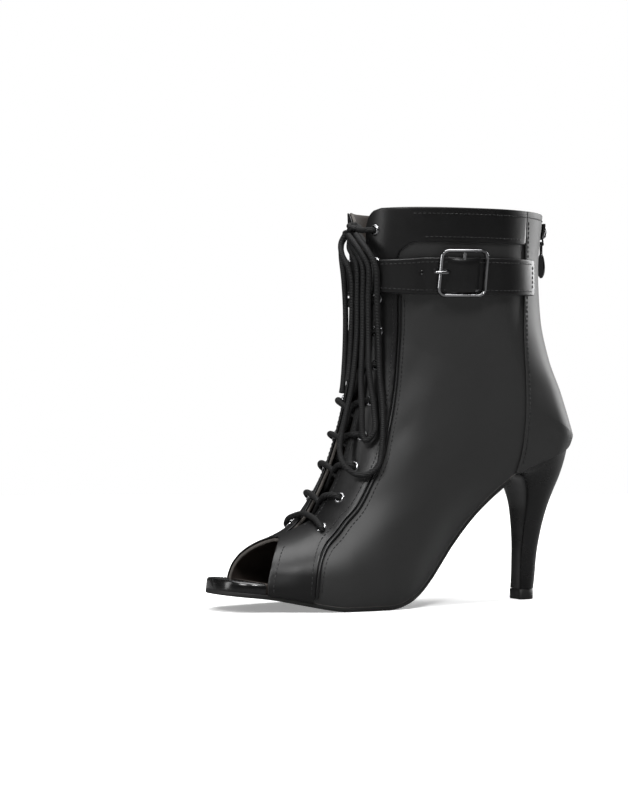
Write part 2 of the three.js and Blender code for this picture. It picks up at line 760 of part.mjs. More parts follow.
/** The insole, with the thick covered lip that shows in front of the peep toe. */
function buildInsole() {
  const lean = seatPoint(peepBase, lipThickness).x - peepBase;
  const shoulder = peepBase - clearance - lean;
  const inset = wallThickness + 7 * clearance;
  const thin = smoothCurve([shoulder, -0.67 * shoeLength, -0.58 * shoeLength], [lipThickness, lipThickness, insoleThickness]);
  const layer = (x, thickness, drawn) => soleRing(x, seatPoint(x, 0), seatPoint(x, thickness), drawn);
  const lip = stations(toeTip + 0.1, shoulder, 0).map((x) => layer(x, lipThickness, 0));
  const bed = stations(shoulder + 0.15, seatBack - inset - 0.05, inset).map((x) => layer(x, thin(x), inset));
  return facingOut(loft([...lip, ...bed]));
}

// Sections of the heel above the top lift: up counts from the lift to the seat, front and back are shares of the
// heel tip's length, and half is a share of its width. The last rows flare out to the seat.
const HEEL = table(
  ['frontX', 'frontZ', 'backX', 'backZ', 'half'],
  [
    [-0.0225, 0, 0.0265, 0, 0.505],
    [-0.0210, 0.10, 0.0310, 0.085, 0.485],
    [-0.0196, 0.24, 0.0363, 0.225, 0.500],
    [-0.0174, 0.38, 0.0455, 0.370, 0.620],
    [-0.0165, 0.53, 0.0590, 0.520, 0.850],
    [-0.0205, 0.645, 0.0755, 0.645, 1.090],
    [-0.0345, 0.735, 0.0950, 0.765, 1.360],
    [-0.0600, 0.775, 0.1085, 0.875, 1.620],
    [-0.0920, 0.775, 0.1190, 1, 1.860],
  ],
);

/** A D-shaped ring between a front and a back point: flat in front, round behind. */
function heelRing(front, back, half, seatAt) {
  const profile = [[0, 0.80], [0.05, 0.94], [0.16, 0.99], [0.32, 1]];
  const steps = 5;
  const power = 2 / 2.05;
  for (let k = 1; k <= steps; k += 1) {
    const angle = ((Math.PI / 2) * k) / (steps + 0.35);
    profile.push([0.32 + 0.68 * Math.sin(angle) ** power, Math.cos(angle) ** power]);
  }
  const point = (share, y) => {
    const x = front.x + share * (back.x - front.x);
    const z = seatAt ? seatAt(x) : front.z + share * (back.z - front.z);
    return new THREE.Vector3(x, y * half, z);
  };
  return [...profile.map(([s, y]) => point(s, -y)), ...profile.toReversed().map(([s, y]) => point(s, y))];
}

/** The tall tapered heel, with a flat breast and a round back. */
function buildHeel() {
  const low = topLiftHeight + clearance;
  const rise = heelHeight - clearance - low;
  const rings = HEEL.map((row, i) => {
    const front = { x: row.frontX * shoeLength, z: low + row.frontZ * rise };
    const back = { x: row.backX * shoeLength, z: low + row.backZ * rise };
    const seat = i === HEEL.length - 1 ? (x) => seatPoint(x, -clearance * 1.3).z : null;
    return heelRing(front, back, row.half * heelTipWidth, seat);
  });
  return facingOut(loft(rings));
}

/** The hard top lift that the heel stands on. */
function buildTopLift() {
  const front = -heelTipLength / 2 + 0.2;
  const back = heelTipLength / 2 + 0.2;
  const rings = [0, topLiftHeight].map((z) => heelRing({ x: front, z }, { x: back, z }, heelTipWidth / 2));
  return facingOut(loft(rings));
}

const strapLow = overlayTop + clearance;
const strapTop = strapLow + strapThickness;

/** Side outline of the strap between two places along the boot. */
function strapOutline(fromX, toX) {
  const half = strapWidth / 2;
  const front = section(lastRow).front.x;
  const taperEnd = front + 0.1 * shoeLength;
  const heights = smoothCurve([front, taperEnd, 0], [half - strapFrontTaper, half, half]);
  const shares = [-0.018, 0, 0.046, 0.1, 0.275, 0.55];
  const xs = shares.map((share) => front + share * shoeLength).filter((x) => x > fromX && x < toX);
  const along = [fromX, ...xs, toX];
  const lower = along.map((x) => [x, strapCentre - heights(x)]);
  const upper = along.map((x) => [x, strapCentre + heights(x)]);
  return [...lower, ...upper.toReversed()];
}

const strapEnd = -0.049 * shoeLength;
const strapLift = (turn) => (turn < 0.3 ? 4 * clearance + eyeletRim : 0);
const strapLayer = wallBetween(strapLow, strapTop, strapLift);
const barGap = buckleWire / 2 + clearance;

/** The strap's front part: from the inner side round the front and into the buckle. */
function buildStrapFront() {
  const innerHalf = sidePrism(strapOutline(frontAir, strapEnd), -clearance, beyond);
  const outerHalf = sidePrism(strapOutline(frontAir, buckleX - barGap), -beyond, 0);
  return toGeometry(strapLayer.intersect(innerHalf.add(outerHalf)));
}

/** The strap's rear part: from the buckle's bar back towards the zip. */
function buildStrapRear() {
  return toGeometry(strapLayer.intersect(sidePrism(strapOutline(buckleX + barGap, strapEnd), -beyond, -5)));
}

/** One eyelet's metal ring on the eyestay. */
function buildEyelet(place) {
  const low = overlayTop + 2 * clearance;
  const [inner, outer] = [eyeletInner / 2, eyeletOuter / 2];
  const slope = eyeletRim / 2;
  const profile = [[inner, low], [outer, low], [outer - slope, low + eyeletRim], [inner + slope, low + eyeletRim]];
  return turnedAt(profile, place, eyeletSides);
}

/** A closed solid tube through points, with a polygon for its section. */
function tube(points, radius, sides, steps) {
  const corner = (k) => (2 * Math.PI * (k + 0.5)) / sides;
  const rim = Array.from({ length: sides }, (_, k) => new THREE.Vector2(Math.cos(corner(k)), Math.sin(corner(k))));
  const shape = new THREE.Shape(rim.map((p) => p.multiplyScalar(radius)));
  const extrudePath = new THREE.CatmullRomCurve3(points);
  return toSolid(new THREE.ExtrudeGeometry(shape, { steps, extrudePath, bevelEnabled: false }));
}

// Heights of the lace's middle line above the upper's outer face: under a facing, over its edge, and on a ring
const laceRadius = laceDiameter / 2;
const laceSlack = 0.3;
const laceUnder = -(wallThickness + 3 * clearance + laceRadius);
const laceOver = overlayTop + clearance + laceRadius + laceSlack;
const laceOnRing = overlayTop + 3 * clearance + eyeletRim + laceRadius + laceSlack;
const laceSides = 6;

/** Point above the upper's outer face at a section and a distance from the middle. */
function aboveFace(u, y, height) {
  const { point, out } = facePlace(u, y);
  return point.addScaledVector(out, height);
}

/** Distance of the facing's edge from the middle at a section. */
const edgeAway = (u) => section(u).gap;

/** One strand of a crossing: down from an eyelet, or from under the facing, to under the facing opposite. */
function laceStrand(index, side, fromOutside) {
  const [top, low] = [eyeletRows[index], eyeletRows[index + 1]];
  const middle = (top.u + low.u) / 2;
  const tuck = 3;
  const at = (y, height) => {
    const row = y * side > 0 ? top : low;
    return aboveFace(middle + ((row.u - middle) * Math.abs(y)) / row.away, y, height);
  };
  const lower = [[-side * edgeAway(low.u), laceUnder], [-side * (edgeAway(low.u) + tuck), laceUnder]];
  const inside = [[side * (edgeAway(top.u) + tuck), laceUnder], [0, laceUnder]];
  const outside = [
    [side * top.away, laceOnRing],
    [side * (edgeAway(top.u) + tuck), laceOnRing],
    [side * edgeAway(top.u), laceOver],
    [0, (laceOver + laceUnder) / 2],
  ];
  const path = [...(fromOutside ? outside : inside), ...lower].map(([y, height]) => at(y, height));
  return tube(path, laceRadius, laceSides, fromOutside ? 5 : 3);
}

/** The crossing below one row of eyelets: its two strands, joined where they cross. */
function buildCrossing(row) {
  const fromOutside = row > 1;
  return toGeometry(laceStrand(row, -1, fromOutside).add(laceStrand(row, 1, fromOutside)));
}

/** The lace's bar outside the lowest pair of eyelets. */
function buildLaceBar() {
  const { u, away } = eyeletRows[eyeletRows.length - 1];
  const shares = [-1, -0.75, -0.4, 0, 0.4, 0.75, 1];
  const path = shares.map((share) => aboveFace(u, share * away, Math.abs(share) > 0.5 ? laceOnRing : laceOver));
  return toGeometry(tube(path, laceRadius, laceSides, 8));
}

const knotPlace = new THREE.Vector3(-0.477 * shoeLength, 0, bootHeight - 9.3);

/** The bow's knot, with the lace that reaches it from the two top eyelets. */
function buildKnot() {
  const lump = new THREE.SphereGeometry(knotLength / 2, 8, 6);
  lump.scale(0.86, 1, 0.9);
  lump.translate(...knotPlace.toArray());
  const arm = (side) => {
    const { u, away } = eyeletRows[0];
    const start = aboveFace(u, side * away, laceOnRing);
    const overEdge = aboveFace(u, side * edgeAway(u), laceOnRing);
    return tube([start, overEdge, knotPlace], laceRadius, laceSides, 4);
  };
  return toGeometry(toSolid(lump).add(arm(-1)).add(arm(1)));
}

// The bow's hanging parts, from the knot on. up is a share of the boot's height, away a share of the throat's
// width from the middle, and over a number of lace diameters above the upper's outer face.
const HANGING = ['up', 'away', 'over'];
const LOOP_OUTER = table(HANGING, [
  [0.925, 0.14, 1.75],
  [0.903, -0.12, 2.45],
  [0.884, -0.38, 2.52],
  [0.860, -0.56, 2.52],
  [0.772, -0.53, 2.52],
  [0.669, -0.53, 2.52],
  [0.549, -0.56, 2.52],
  [0.483, -0.60, 2.62],
  [0.423, -0.64, 2.66],
  [0.379, -0.78, 2.68],
  [0.345, -1.08, 2.68],
  [0.327, -1.40, 1.80],
  [0.329, -1.66, 1.55],
  [0.350, -1.77, 1.52],
  [0.391, -1.71, 1.52],
  [0.440, -1.59, 1.52],
  [0.503, -1.40, 1.55],
  [0.579, -1.18, 1.70],
  [0.668, -1.05, 2.00],
  [0.772, -1.05, 2.35],
  [0.855, -1.16, 2.55],
  [0.893, -1.02, 2.60],
  [0.920, -0.72, 2.35],
  [0.937, -0.43, 2.12],
]);
const LOOP_INNER = table(HANGING, [
  [0.928, -0.08, 2.30],
  [0.908, -0.35, 2.60],
  [0.885, -0.66, 2.65],
  [0.858, -0.80, 2.60],
  [0.772, -0.72, 2.52],
  [0.668, -0.72, 2.52],
  [0.610, -0.78, 2.74],
  [0.563, -0.84, 2.74],
  [0.487, -1.05, 2.50],
  [0.433, -1.20, 1.95],
  [0.412, -1.33, 1.82],
  [0.433, -1.46, 1.80],
  [0.488, -1.29, 1.94],
  [0.564, -1.04, 2.45],
  [0.608, -0.95, 2.68],
  [0.668, -0.87, 2.55],
  [0.772, -0.87, 2.60],
  [0.858, -0.98, 2.65],
  [0.888, -0.84, 2.80],
  [0.915, -0.58, 2.95],
  [0.936, -0.24, 3.00],
]);
const END_OUTER = table(HANGING, [
  [0.940, 0.06, 2.78],
  [0.918, 0.14, 3.40],
  [0.887, -0.02, 3.60],
  [0.858, -0.24, 3.10],
  [0.825, -0.31, 2.65],
  [0.772, -0.31, 2.58],
  [0.669, -0.30, 2.58],
  [0.590, -0.33, 2.58],
  [0.560, -0.35, 2.58],
]);
const END_INNER = table(HANGING, [
  [0.937, 0.36, 1.95],
  [0.918, 0.52, 2.35],
  [0.890, 0.46, 2.55],
  [0.825, 0.24, 2.58],
  [0.748, 0.12, 2.58],
  [0.644, 0.05, 2.58],
  [0.549, -0.13, 2.58],
  [0.530, -0.16, 2.58],
]);
const cordSides = 8;

/** One hanging part of the bow through the rows of its table. */
function buildHanging(rows, steps) {
  const points = rows.map(({ up, away, over }) => {
    const y = away * throatWidth;
    const u = reach((row) => facePlace(row, y).point.z, up * bootHeight, 2, lastRow);
    return aboveFace(u, y, over * laceDiameter);
  });
  return toGeometry(tube(points, laceRadius, cordSides, steps));
}

/** A rectangle of [x, z] pairs with round corners. */
function roundedBox(x, z, long, high, corner) {
  const cornerSteps = 3;
  const points = [];
  for (let quarter = 0; quarter < 4; quarter += 1) {
    const [sx, sz] = [[1, 1], [-1, 1], [-1, -1], [1, -1]][quarter];
    for (let k = 0; k <= cornerSteps; k += 1) {
      const angle = (Math.PI / 2) * (quarter + k / cornerSteps);
      const cx = x + sx * (long / 2 - corner);
      points.push([cx + corner * Math.cos(angle), z + sz * (high / 2 - corner) + corner * Math.sin(angle)]);
    }
  }
  return points;
}

const buckleCentre = strapCentre + 1.7;
const buckleLow = strapTop + clearance;
const buckleTop = buckleLow + buckleWire;

/** The buckle's frame over the strap, with its bar in the gap between the strap's two parts. */
function buildBuckle() {
  const outerSide = [-beyond, 0];
  const frame = sidePrism(roundedBox(buckleX, buckleCentre, buckleLength, buckleHeight, buckleCorner), ...outerSide);
  const opening = [buckleLength - 2 * buckleWire, buckleHeight - 2 * buckleWire, buckleCorner - buckleWire];
  const window = sidePrism(roundedBox(buckleX, buckleCentre, ...opening), ...outerSide);
  const barHalf = buckleHeight / 2 - buckleWire / 2;
  const bar = boxBetween(
    [buckleX - buckleWire / 2, -beyond, buckleCentre - barHalf],
    [buckleX + buckleWire / 2, 0, buckleCentre + barHalf],
  );
  const ring = wallBetween(buckleLow, buckleTop, strapLift).intersect(frame.subtract(window));
  return toGeometry(ring.add(wallBetween(strapLow, buckleTop - clearance, strapLift).intersect(bar)));
}

/** The prong's end: up through the strap and over the buckle's front side. */
function buildProng() {
  const radius = prongWire / 2;
  const frontBar = buckleX - buckleLength / 2;
  const rest = buckleTop + 2 * clearance + radius;
  const along = [[5.8, strapTop + clearance + radius], [4.2, rest - 0.7], [2, rest + 0.1], [0, rest], [-1.9, rest - 0.5]];
  const path = along.map(([back, height]) => {
    const { point, out } = sidePlace(frontBar + back, buckleCentre + 0.6, -1);
    return point.addScaledVector(out, height);
  });
  return toGeometry(tube(path, radius, 6, 6));
}

/** A prism along the boot between two x planes, from an outline of [y, z] pairs seen from behind. */
function backPrism(outline, fromX, toX) {
  const shape = new THREE.Shape(outline.map(([y, z]) => new THREE.Vector2(y, z)));
  const geometry = new THREE.ExtrudeGeometry(shape, { depth: toX - fromX, bevelEnabled: false });
  const turned = new THREE.Matrix4().makeBasis(
    new THREE.Vector3(0, 1, 0),
    new THREE.Vector3(0, 0, 1),
    new THREE.Vector3(1, 0, 0),
  );
  geometry.applyMatrix4(turned);
  geometry.translate(fromX, 0, 0);
  return toSolid(geometry);
}

/** A round bar across the boot through a place, reaching the same way to both sides. */
function crossPin(place, radius, reachOut, sides) {
  const geometry = new THREE.CylinderGeometry(radius, radius, 2 * reachOut, sides);
  geometry.translate(...place.toArray());
  return toSolid(geometry);
}

/** Where the zip's outer face lies in the middle of the back at a height. */
function zipFace(z) {
  const u = reach((row) => section(row).back.z, z, heelRow, lastRow);
  return section(u).back.x + overlayTop + 1.5 * clearance;
}

const sliderFoot = sliderTop - sliderLength;
const pinHeight = sliderFoot - 2.4;
const pinPlace = new THREE.Vector3(zipFace(pinHeight) + clearance + knuckleRadius, 0, pinHeight);
const neckHalf = 1.05;
const lugThickness = 1.1;

/** The zip's slider: its body, two lugs below it and the pin between them. */
function buildSlider() {
  const half = sliderWidth / 2;
  const low = (z) => zipFace(z) + clearance;
  const middle = (sliderTop + sliderFoot) / 2;
  const heights = [sliderFoot, middle, sliderTop];
  const outer = heights.toReversed().map((z) => [low(z) + sliderThickness, z]);
  const body = sidePrism([...heights.map((z) => [low(z), z]), ...outer], -half, half);
  const crown = sidePrism(
    [
      [low(middle) + 1, sliderFoot + 1.4],
      [low(middle) + 1, sliderTop - 1],
      [low(middle) + sliderThickness + 1, sliderTop - 2.2],
      [low(middle) + sliderThickness + 1, sliderFoot + 2.6],
    ],
    -neckHalf,
    neckHalf,
  );
  const lugAway = neckHalf + clearance;
  const lug = (from, to) =>
    boxBetween(
      [pinPlace.x - knuckleRadius + 0.1, from, pinHeight - 1],
      [pinPlace.x + 1, to, sliderFoot + 0.5],
    );
  const lugs = lug(-lugAway - lugThickness, -lugAway).add(lug(lugAway, lugAway + lugThickness));
  const pin = crossPin(pinPlace, pinRadius, lugAway + lugThickness / 2, 8);
  return toGeometry(body.add(crown).add(lugs).add(pin));
}

// Half widths of the pull tab below its pin, as shares of its length and its width
const PULL = table(
  ['down', 'half'],
  [[0, 0.138], [0.27, 0.138], [0.36, 0.27], [0.50, 0.42], [0.68, 0.50], [0.82, 0.47], [0.93, 0.33], [1, 0.12]],
);

/** The zip's pull tab, hanging from the slider's pin. */
function buildPull() {
  const side = PULL.map(({ down, half }) => [half * pullWidth, pinHeight - down * pullLength]);
  const outline = [...side, ...side.toReversed().map(([y, z]) => [-y, z])];
  const plate = backPrism(outline, pinPlace.x - pullThickness / 2, pinPlace.x + pullThickness / 2);
  const knuckle = crossPin(pinPlace, knuckleRadius, neckHalf, 10);
  return toGeometry(plate.add(knuckle).subtract(crossPin(pinPlace, pinHole, neckHalf + 1, 10)));
}

/** A leather, rubber or metal look. */
function look(color, roughness, metalness = 0) {
  return new THREE.MeshStandardMaterial({ color, roughness, metalness });
}

const leather = look(0x141414, 0.42);
const leatherEdge = look(0x0c0c0c, 0.35);
const soleBlack = look(0x101010, 0.55);
const lining = look(0x2a211c, 0.8);
const heelBlack = look(0x121212, 0.3);
const metal = look(0x6d6d70, 0.25, 1);
const darkMetal = look(0x34343a, 0.25, 1);
const tape = look(0x111111, 0.85);
const laceBlack = look(0x0e0e0e, 0.9);

const boot = new THREE.Group();

/** Adds one named piece to the boot. */
function add(name, geometry, material) {
  const mesh = new THREE.Mesh(geometry, material);
  mesh.name = name;
  boot.add(mesh);
}

add('upper', buildUpper(), leather);
for (const side of ['outer', 'inner']) {
  add(`eyestay_${side}`, buildEyestay(side), leather);
  add(`piping_${side}`, buildPiping(side), leatherEdge);
  add(`back_panel_${side}`, buildBackPanel(side), leather);
}
add('zip_tape', buildZipTape(), tape);
add('strap_front', buildStrapFront(), leather);
add('strap_rear', buildStrapRear(), leather);
add('buckle_frame', buildBuckle(), darkMetal);
add('buckle_prong', buildProng(), darkMetal);
add('zip_slider', buildSlider(), darkMetal);
add('zip_pull', buildPull(), darkMetal);
add('outsole', buildOutsole(), soleBlack);
add('insole', buildInsole(), lining);
add('heel', buildHeel(), heelBlack);
add('top_lift', buildTopLift(), soleBlack);
for (const [side, sign] of [['outer', -1], ['inner', 1]]) {
  eyelets(sign).forEach((place, k) => add(`eyelet_${side}_${k + 1}`, buildEyelet(place), metal));
}
add('lace_bar', buildLaceBar(), laceBlack);
for (let row = 0; row < eyeletRows.length - 1; row += 1) add(`lace_cross_${row + 1}`, buildCrossing(row), laceBlack);
add('lace_knot', buildKnot(), laceBlack);
add('lace_loop_outer', buildHanging(LOOP_OUTER, 30), laceBlack);
add('lace_loop_inner', buildHanging(LOOP_INNER, 25), laceBlack);
add('lace_end_outer', buildHanging(END_OUTER, 10), laceBlack);
add('lace_end_inner', buildHanging(END_INNER, 10), laceBlack);

export default boot;
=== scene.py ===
"""A peep-toe, lace-up ankle boot with a stiletto heel, an ankle strap and a back zip: the left shoe.

The boot's surface is one function of a section and a turn. Every leather piece is cut from it.
"""

from __future__ import annotations

import logging
import math
from dataclasses import dataclass, field
from enum import Enum
from typing import Callable, Sequence

import bmesh
import bpy
import numpy as np
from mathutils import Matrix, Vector

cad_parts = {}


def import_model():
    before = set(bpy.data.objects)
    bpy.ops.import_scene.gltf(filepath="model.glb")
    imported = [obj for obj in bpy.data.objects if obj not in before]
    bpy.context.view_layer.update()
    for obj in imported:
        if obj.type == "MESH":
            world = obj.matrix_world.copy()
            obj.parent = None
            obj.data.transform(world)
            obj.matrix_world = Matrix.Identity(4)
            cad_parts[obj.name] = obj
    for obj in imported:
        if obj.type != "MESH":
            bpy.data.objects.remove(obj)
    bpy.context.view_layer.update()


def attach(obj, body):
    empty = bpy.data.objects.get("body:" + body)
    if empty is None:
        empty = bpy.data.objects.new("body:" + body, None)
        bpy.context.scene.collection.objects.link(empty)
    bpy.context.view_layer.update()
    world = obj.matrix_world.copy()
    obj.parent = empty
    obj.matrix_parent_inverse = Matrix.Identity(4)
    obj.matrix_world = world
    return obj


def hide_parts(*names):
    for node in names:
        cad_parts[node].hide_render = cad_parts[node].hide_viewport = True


Array = np.ndarray
Curve = Callable[[Array], Array]
LOG = logging.getLogger("boot")
MM = 0.001

SHOE_LENGTH = 218.0
HEEL_HEIGHT = 88.0
SHAFT_HEIGHT = 124.0
INSTEP_HEIGHT = 114.0
BOOT_HEIGHT = HEEL_HEIGHT + SHAFT_HEIGHT
WIDTHS = {"ball": 82.0, "waist": 40.0, "seat": 49.0, "ankle": 66.0, "collar": 79.0}
TOE_SPRING = 9.0
CLEARANCE = 0.3
WALL = 1.8
OVERLAY_LOW = CLEARANCE
OVERLAY_TOP = 1.2
THROAT_WIDTH = 16.0
HEEL_ROW = 13
LAST_ROW = 19


class Side(Enum):
    """The two sides of the foot."""

    OUTER = -1
    INNER = 1


def smooth_curve(xs: Sequence[float], ys: Sequence[float]) -> Curve:
    """Makes a smooth curve through rising values of x, without overshoot.

    Args:
        xs: Rising places of the points.
        ys: Their values.

    Returns:
        A function that reads the curve at an array of places.
    """
    x0 = np.asarray(xs, float)
    y0 = np.asarray(ys, float)
    chord = np.diff(y0) / np.diff(x0)
    slope = np.concatenate([[chord[0]], np.zeros(len(x0) - 2), [chord[-1]]])
    for i in range(1, len(x0) - 1):
        if chord[i - 1] * chord[i] > 0:
            slope[i] = 2 * chord[i - 1] * chord[i] / (chord[i - 1] + chord[i])

    def read(x: Array) -> Array:
        """Reads the curve at an array of places.

        Args:
            x: The places.

        Returns:
            The curve's values there.
        """
        at = np.clip(np.asarray(x, float), x0[0], x0[-1])
        i = np.clip(np.searchsorted(x0, at) - 1, 0, len(x0) - 2)
        h = x0[i + 1] - x0[i]
        t = (at - x0[i]) / h
        start = (1 + 2 * t) * (1 - t) ** 2 * y0[i] + t * (1 - t) ** 2 * h * slope[i]
        return start + t * t * (3 - 2 * t) * y0[i + 1] + t * t * (t - 1) * h * slope[i + 1]

    return read


def unit(v: Array) -> Array:
    """Gives vectors the length one."""
    return v / np.maximum(np.linalg.norm(v, axis=-1, keepdims=True), 1e-9)


def spline(points: Sequence[Sequence[float]], step: float) -> Array:
    """Runs a centripetal curve through points.

    Args:
        points: The points that the curve passes through.
        step: Distance between the points that come back.

    Returns:
        Points along the curve, equally far apart.
    """
    p = np.asarray(points, float)
    p = np.vstack([2 * p[0] - p[1], p, 2 * p[-1] - p[-2]])
    knots = np.concatenate([[0], np.cumsum(np.linalg.norm(np.diff(p, axis=0), axis=1) ** 0.5)])
    out = []
    for i in range(1, len(p) - 2):
        k0, k1, k2, k3 = knots[i - 1 : i + 3]
        t = np.linspace(k1, k2, 24, endpoint=False)[:, None]
        a1 = (k1 - t) / (k1 - k0) * p[i - 1] + (t - k0) / (k1 - k0) * p[i]
        a2 = (k2 - t) / (k2 - k1) * p[i] + (t - k1) / (k2 - k1) * p[i + 1]
        a3 = (k3 - t) / (k3 - k2) * p[i + 1] + (t - k2) / (k3 - k2) * p[i + 2]
        b1 = (k2 - t) / (k2 - k0) * a1 + (t - k0) / (k2 - k0) * a2
        b2 = (k3 - t) / (k3 - k1) * a2 + (t - k1) / (k3 - k1) * a3
        out.append((k2 - t) / (k2 - k1) * b1 + (t - k1) / (k2 - k1) * b2)
    return respaced(np.vstack(out + [p[-2:-1]]), step)


def respaced(line: Array, step: float) -> Array:
    """Places points equally far apart along a line.

    Args:
        line: The line's points.
        step: The distance between the new ones.

    Returns:
        The new points.
    """
    long = np.concatenate([[0], np.cumsum(np.linalg.norm(np.diff(line, axis=0), axis=1))])
    count = max(2, int(round(long[-1] / step)) + 1)
    at = np.linspace(0, long[-1], count)
    return np.stack([np.interp(at, long, line[:, k]) for k in range(line.shape[1])], axis=1)


def outline_distance(points: Array, outline: Array) -> Array:
    """Measures how far points lie inside a closed outline.

    Args:
        points: Points of a plane.
        outline: Corners of the closed outline.

    Returns:
        Distances to the outline, above zero inside it.
    """
    near = np.full(len(points), 1e9)
    inside = np.zeros(len(points), bool)
    for a, b in zip(outline, np.roll(outline, -1, axis=0)):
        edge = b - a
        t = np.clip(((points - a) @ edge) / max(edge @ edge, 1e-12), 0, 1)
        near = np.minimum(near, np.linalg.norm(points - a - t[:, None] * edge, axis=1))
        spans = (a[1] > points[:, 1]) != (b[1] > points[:, 1])
        rise = b[1] - a[1] if abs(b[1] - a[1]) > 1e-12 else 1e-12
        inside ^= spans & (points[:, 0] < a[0] + (points[:, 1] - a[1]) / rise * edge[0])
    return np.where(inside, near, -near)


SOLE_OUTLINE = [
    (-0.761, "ball", 0.305, 0.323),
    (-0.697, "ball", 0.372, 0.374),
    (-0.633, "ball", 0.433, 0.427),
    (-0.560, "ball", 0.470, 0.457),
    (-0.486, "ball", 0.463, 0.433),
    (-0.413, "ball", 0.415, 0.372),
    (-0.339, "waist", 0.688, 0.600),
    (-0.266, "waist", 0.575, 0.488),
    (-0.193, "waist", 0.525, 0.463),
    (-0.119, "waist", 0.550, 0.513),
    (-0.046, "seat", 0.490, 0.480),
    (0.028, "seat", 0.500, 0.500),
]
TOE_LINE = [(-0.858, 1), (-0.761, 0.76), (-0.679, 0.42), (-0.624, 0.13), (-0.578, 0)]
HEEL_LINE = [
    (-0.470, 0),
    (-0.445, 0.004),
    (-0.404, 0.032),
    (-0.365, 0.087),
    (-0.335, 0.155),
    (-0.287, 0.296),
    (-0.266, 0.362),
    (-0.184, 0.580),
    (-0.124, 0.712),
    (-0.083, 0.790),
    (-0.046, 0.833),
    (0, 0.878),
    (0.064, 0.939),
    (0.119, 1),
]
SECTION_COLUMNS = [
    "frontX",
    "frontZ",
    "backX",
    "backZ",
    "size",
    "width",
    "skew",
    "widest",
    "low",
    "high",
    "gap",
    "full",
]
SECTIONS = [
    (-0.757, 0.290, -0.835, 0, "ball", 0.50, 0.04, 0.38, 2.6, 1.95, 0, 1),
    (-0.685, 0.327, -0.766, 0, "ball", 0.67, 0.03, 0.36, 2.6, 1.95, 0, 1),
    (-0.642, 0.364, -0.706, 0, "ball", 0.80, 0.01, 0.34, 2.6, 1.90, 0.30, 1),
    (-0.605, 0.417, -0.633, 0, "ball", 0.93, 0, 0.31, 2.8, 1.85, 0.85, 1),
    (-0.573, 0.509, -0.551, 0, "ball", 1.00, 0, 0.30, 2.8, 1.80, 1.02, 1),
    (-0.548, 0.605, -0.477, 0, "ball", 0.985, -0.01, 0.32, 2.6, 1.80, 1.10, 1),
    (-0.5275, 0.702, -0.404, 0, "ball", 0.93, -0.02, 0.36, 2.4, 1.85, 1.10, 1),
    (-0.511, 0.798, -0.330, 0, "ball", 0.875, -0.02, 0.40, 2.2, 1.95, 1.05, 1),
    (-0.495, 0.895, -0.248, 0, "ball", 0.835, -0.015, 0.42, 2.1, 2.15, 1, 1),
    (-0.481, 1.000, -0.156, 0, "ankle", 1.00, 0, 0.40, 2.0, 2.40, 1, 1),
    (-0.469, 1.122, -0.064, 0, "ankle", 0.97, 0, 0.38, 2.0, 2.60, 1, 1),
    (-0.464, 1.230, 0.028, 0, "ankle", 0.95, 0, 0.36, 2.0, 2.75, 1, 1),
    (-0.462, 1.306, 0.092, 0, "ankle", 0.95, 0, 0.35, 2.0, 2.80, 1, 1),
    (-0.461, 1.367, 0.119, 0, "ankle", 0.95, 0, 0.34, 1.5, 2.80, 1, 1),
    (-0.460, 1.449, 0.109, 0.089, "ankle", 0.95, 0, 0.35, 1.5, 2.80, 1, 0.82),
    (-0.460, 1.531, 0.0935, 0.194, "ankle", 0.965, 0, 0.37, 1.6, 2.80, 1, 0.64),
    (-0.460, 1.633, 0.0635, 0.339, "ankle", 1.00, 0, 0.41, 1.9, 2.80, 1, 0.45),
    (-0.460, 1.755, 0.040, 0.540, "ankle", 1.07, 0, 0.45, 2.1, 2.80, 1, 0.30),
    (-0.460, 1.878, 0.034, 0.758, "collar", 0.96, 0, 0.48, 2.2, 2.80, 1, 0.25),
    (-0.460, 2.000, 0.047, 1, "collar", 1.00, 0, 0.50, 2.2, 2.80, 1, 0.25),
]
EYESTAY_SEAM = [
    (-0.398, 1.808),
    (-0.4119, 1.776),
    (-0.4173, 1.731),
    (-0.4110, 1.521),
    (-0.4088, 1.342),
    (-0.4142, 1.197),
    (-0.4224, 1.053),
    (-0.4371, 0.908),
    (-0.4489, 0.828),
    (-0.470, 0.690),
    (-0.494, 0.601),
    (-0.5328, 0.479),
    (-0.5673, 0.407),
    (-0.5915, 0.355),
    (-0.6250, 0.293),
    (-0.6484, 0.220),
    (-0.6583, 0.132),
    (-0.661, -0.05),
]
BACK_SEAM = [
    (-0.078, 1.05),
    (-0.074, 0.790),
    (-0.076, 0.556),
    (-0.077, 0.409),
    (-0.073, 0.260),
    (-0.0735, 0.100),
    (-0.0765, -0.060),
    (-0.082, -0.150),
    (-0.092, -0.300),
]
PEEP_EDGE = [(0, 0), (0, 0.40), (0.09, 0.54), (0.29, 0.72), (0.49, 0.83), (0.72, 0.92), (1, 1)]
PEEP_BASE = -0.7595 * SHOE_LENGTH
EYELETS = [
    (0.947, 0.975),
    (0.866, 0.94),
    (0.776, 0.92),
    (0.693, 0.92),
    (0.608, 1.00),
    (0.5175, 1.05),
    (0.430, 1.05),
    (0.351, 1.12),
    (0.274, 1.14),
    (0.201, 1.22),
]
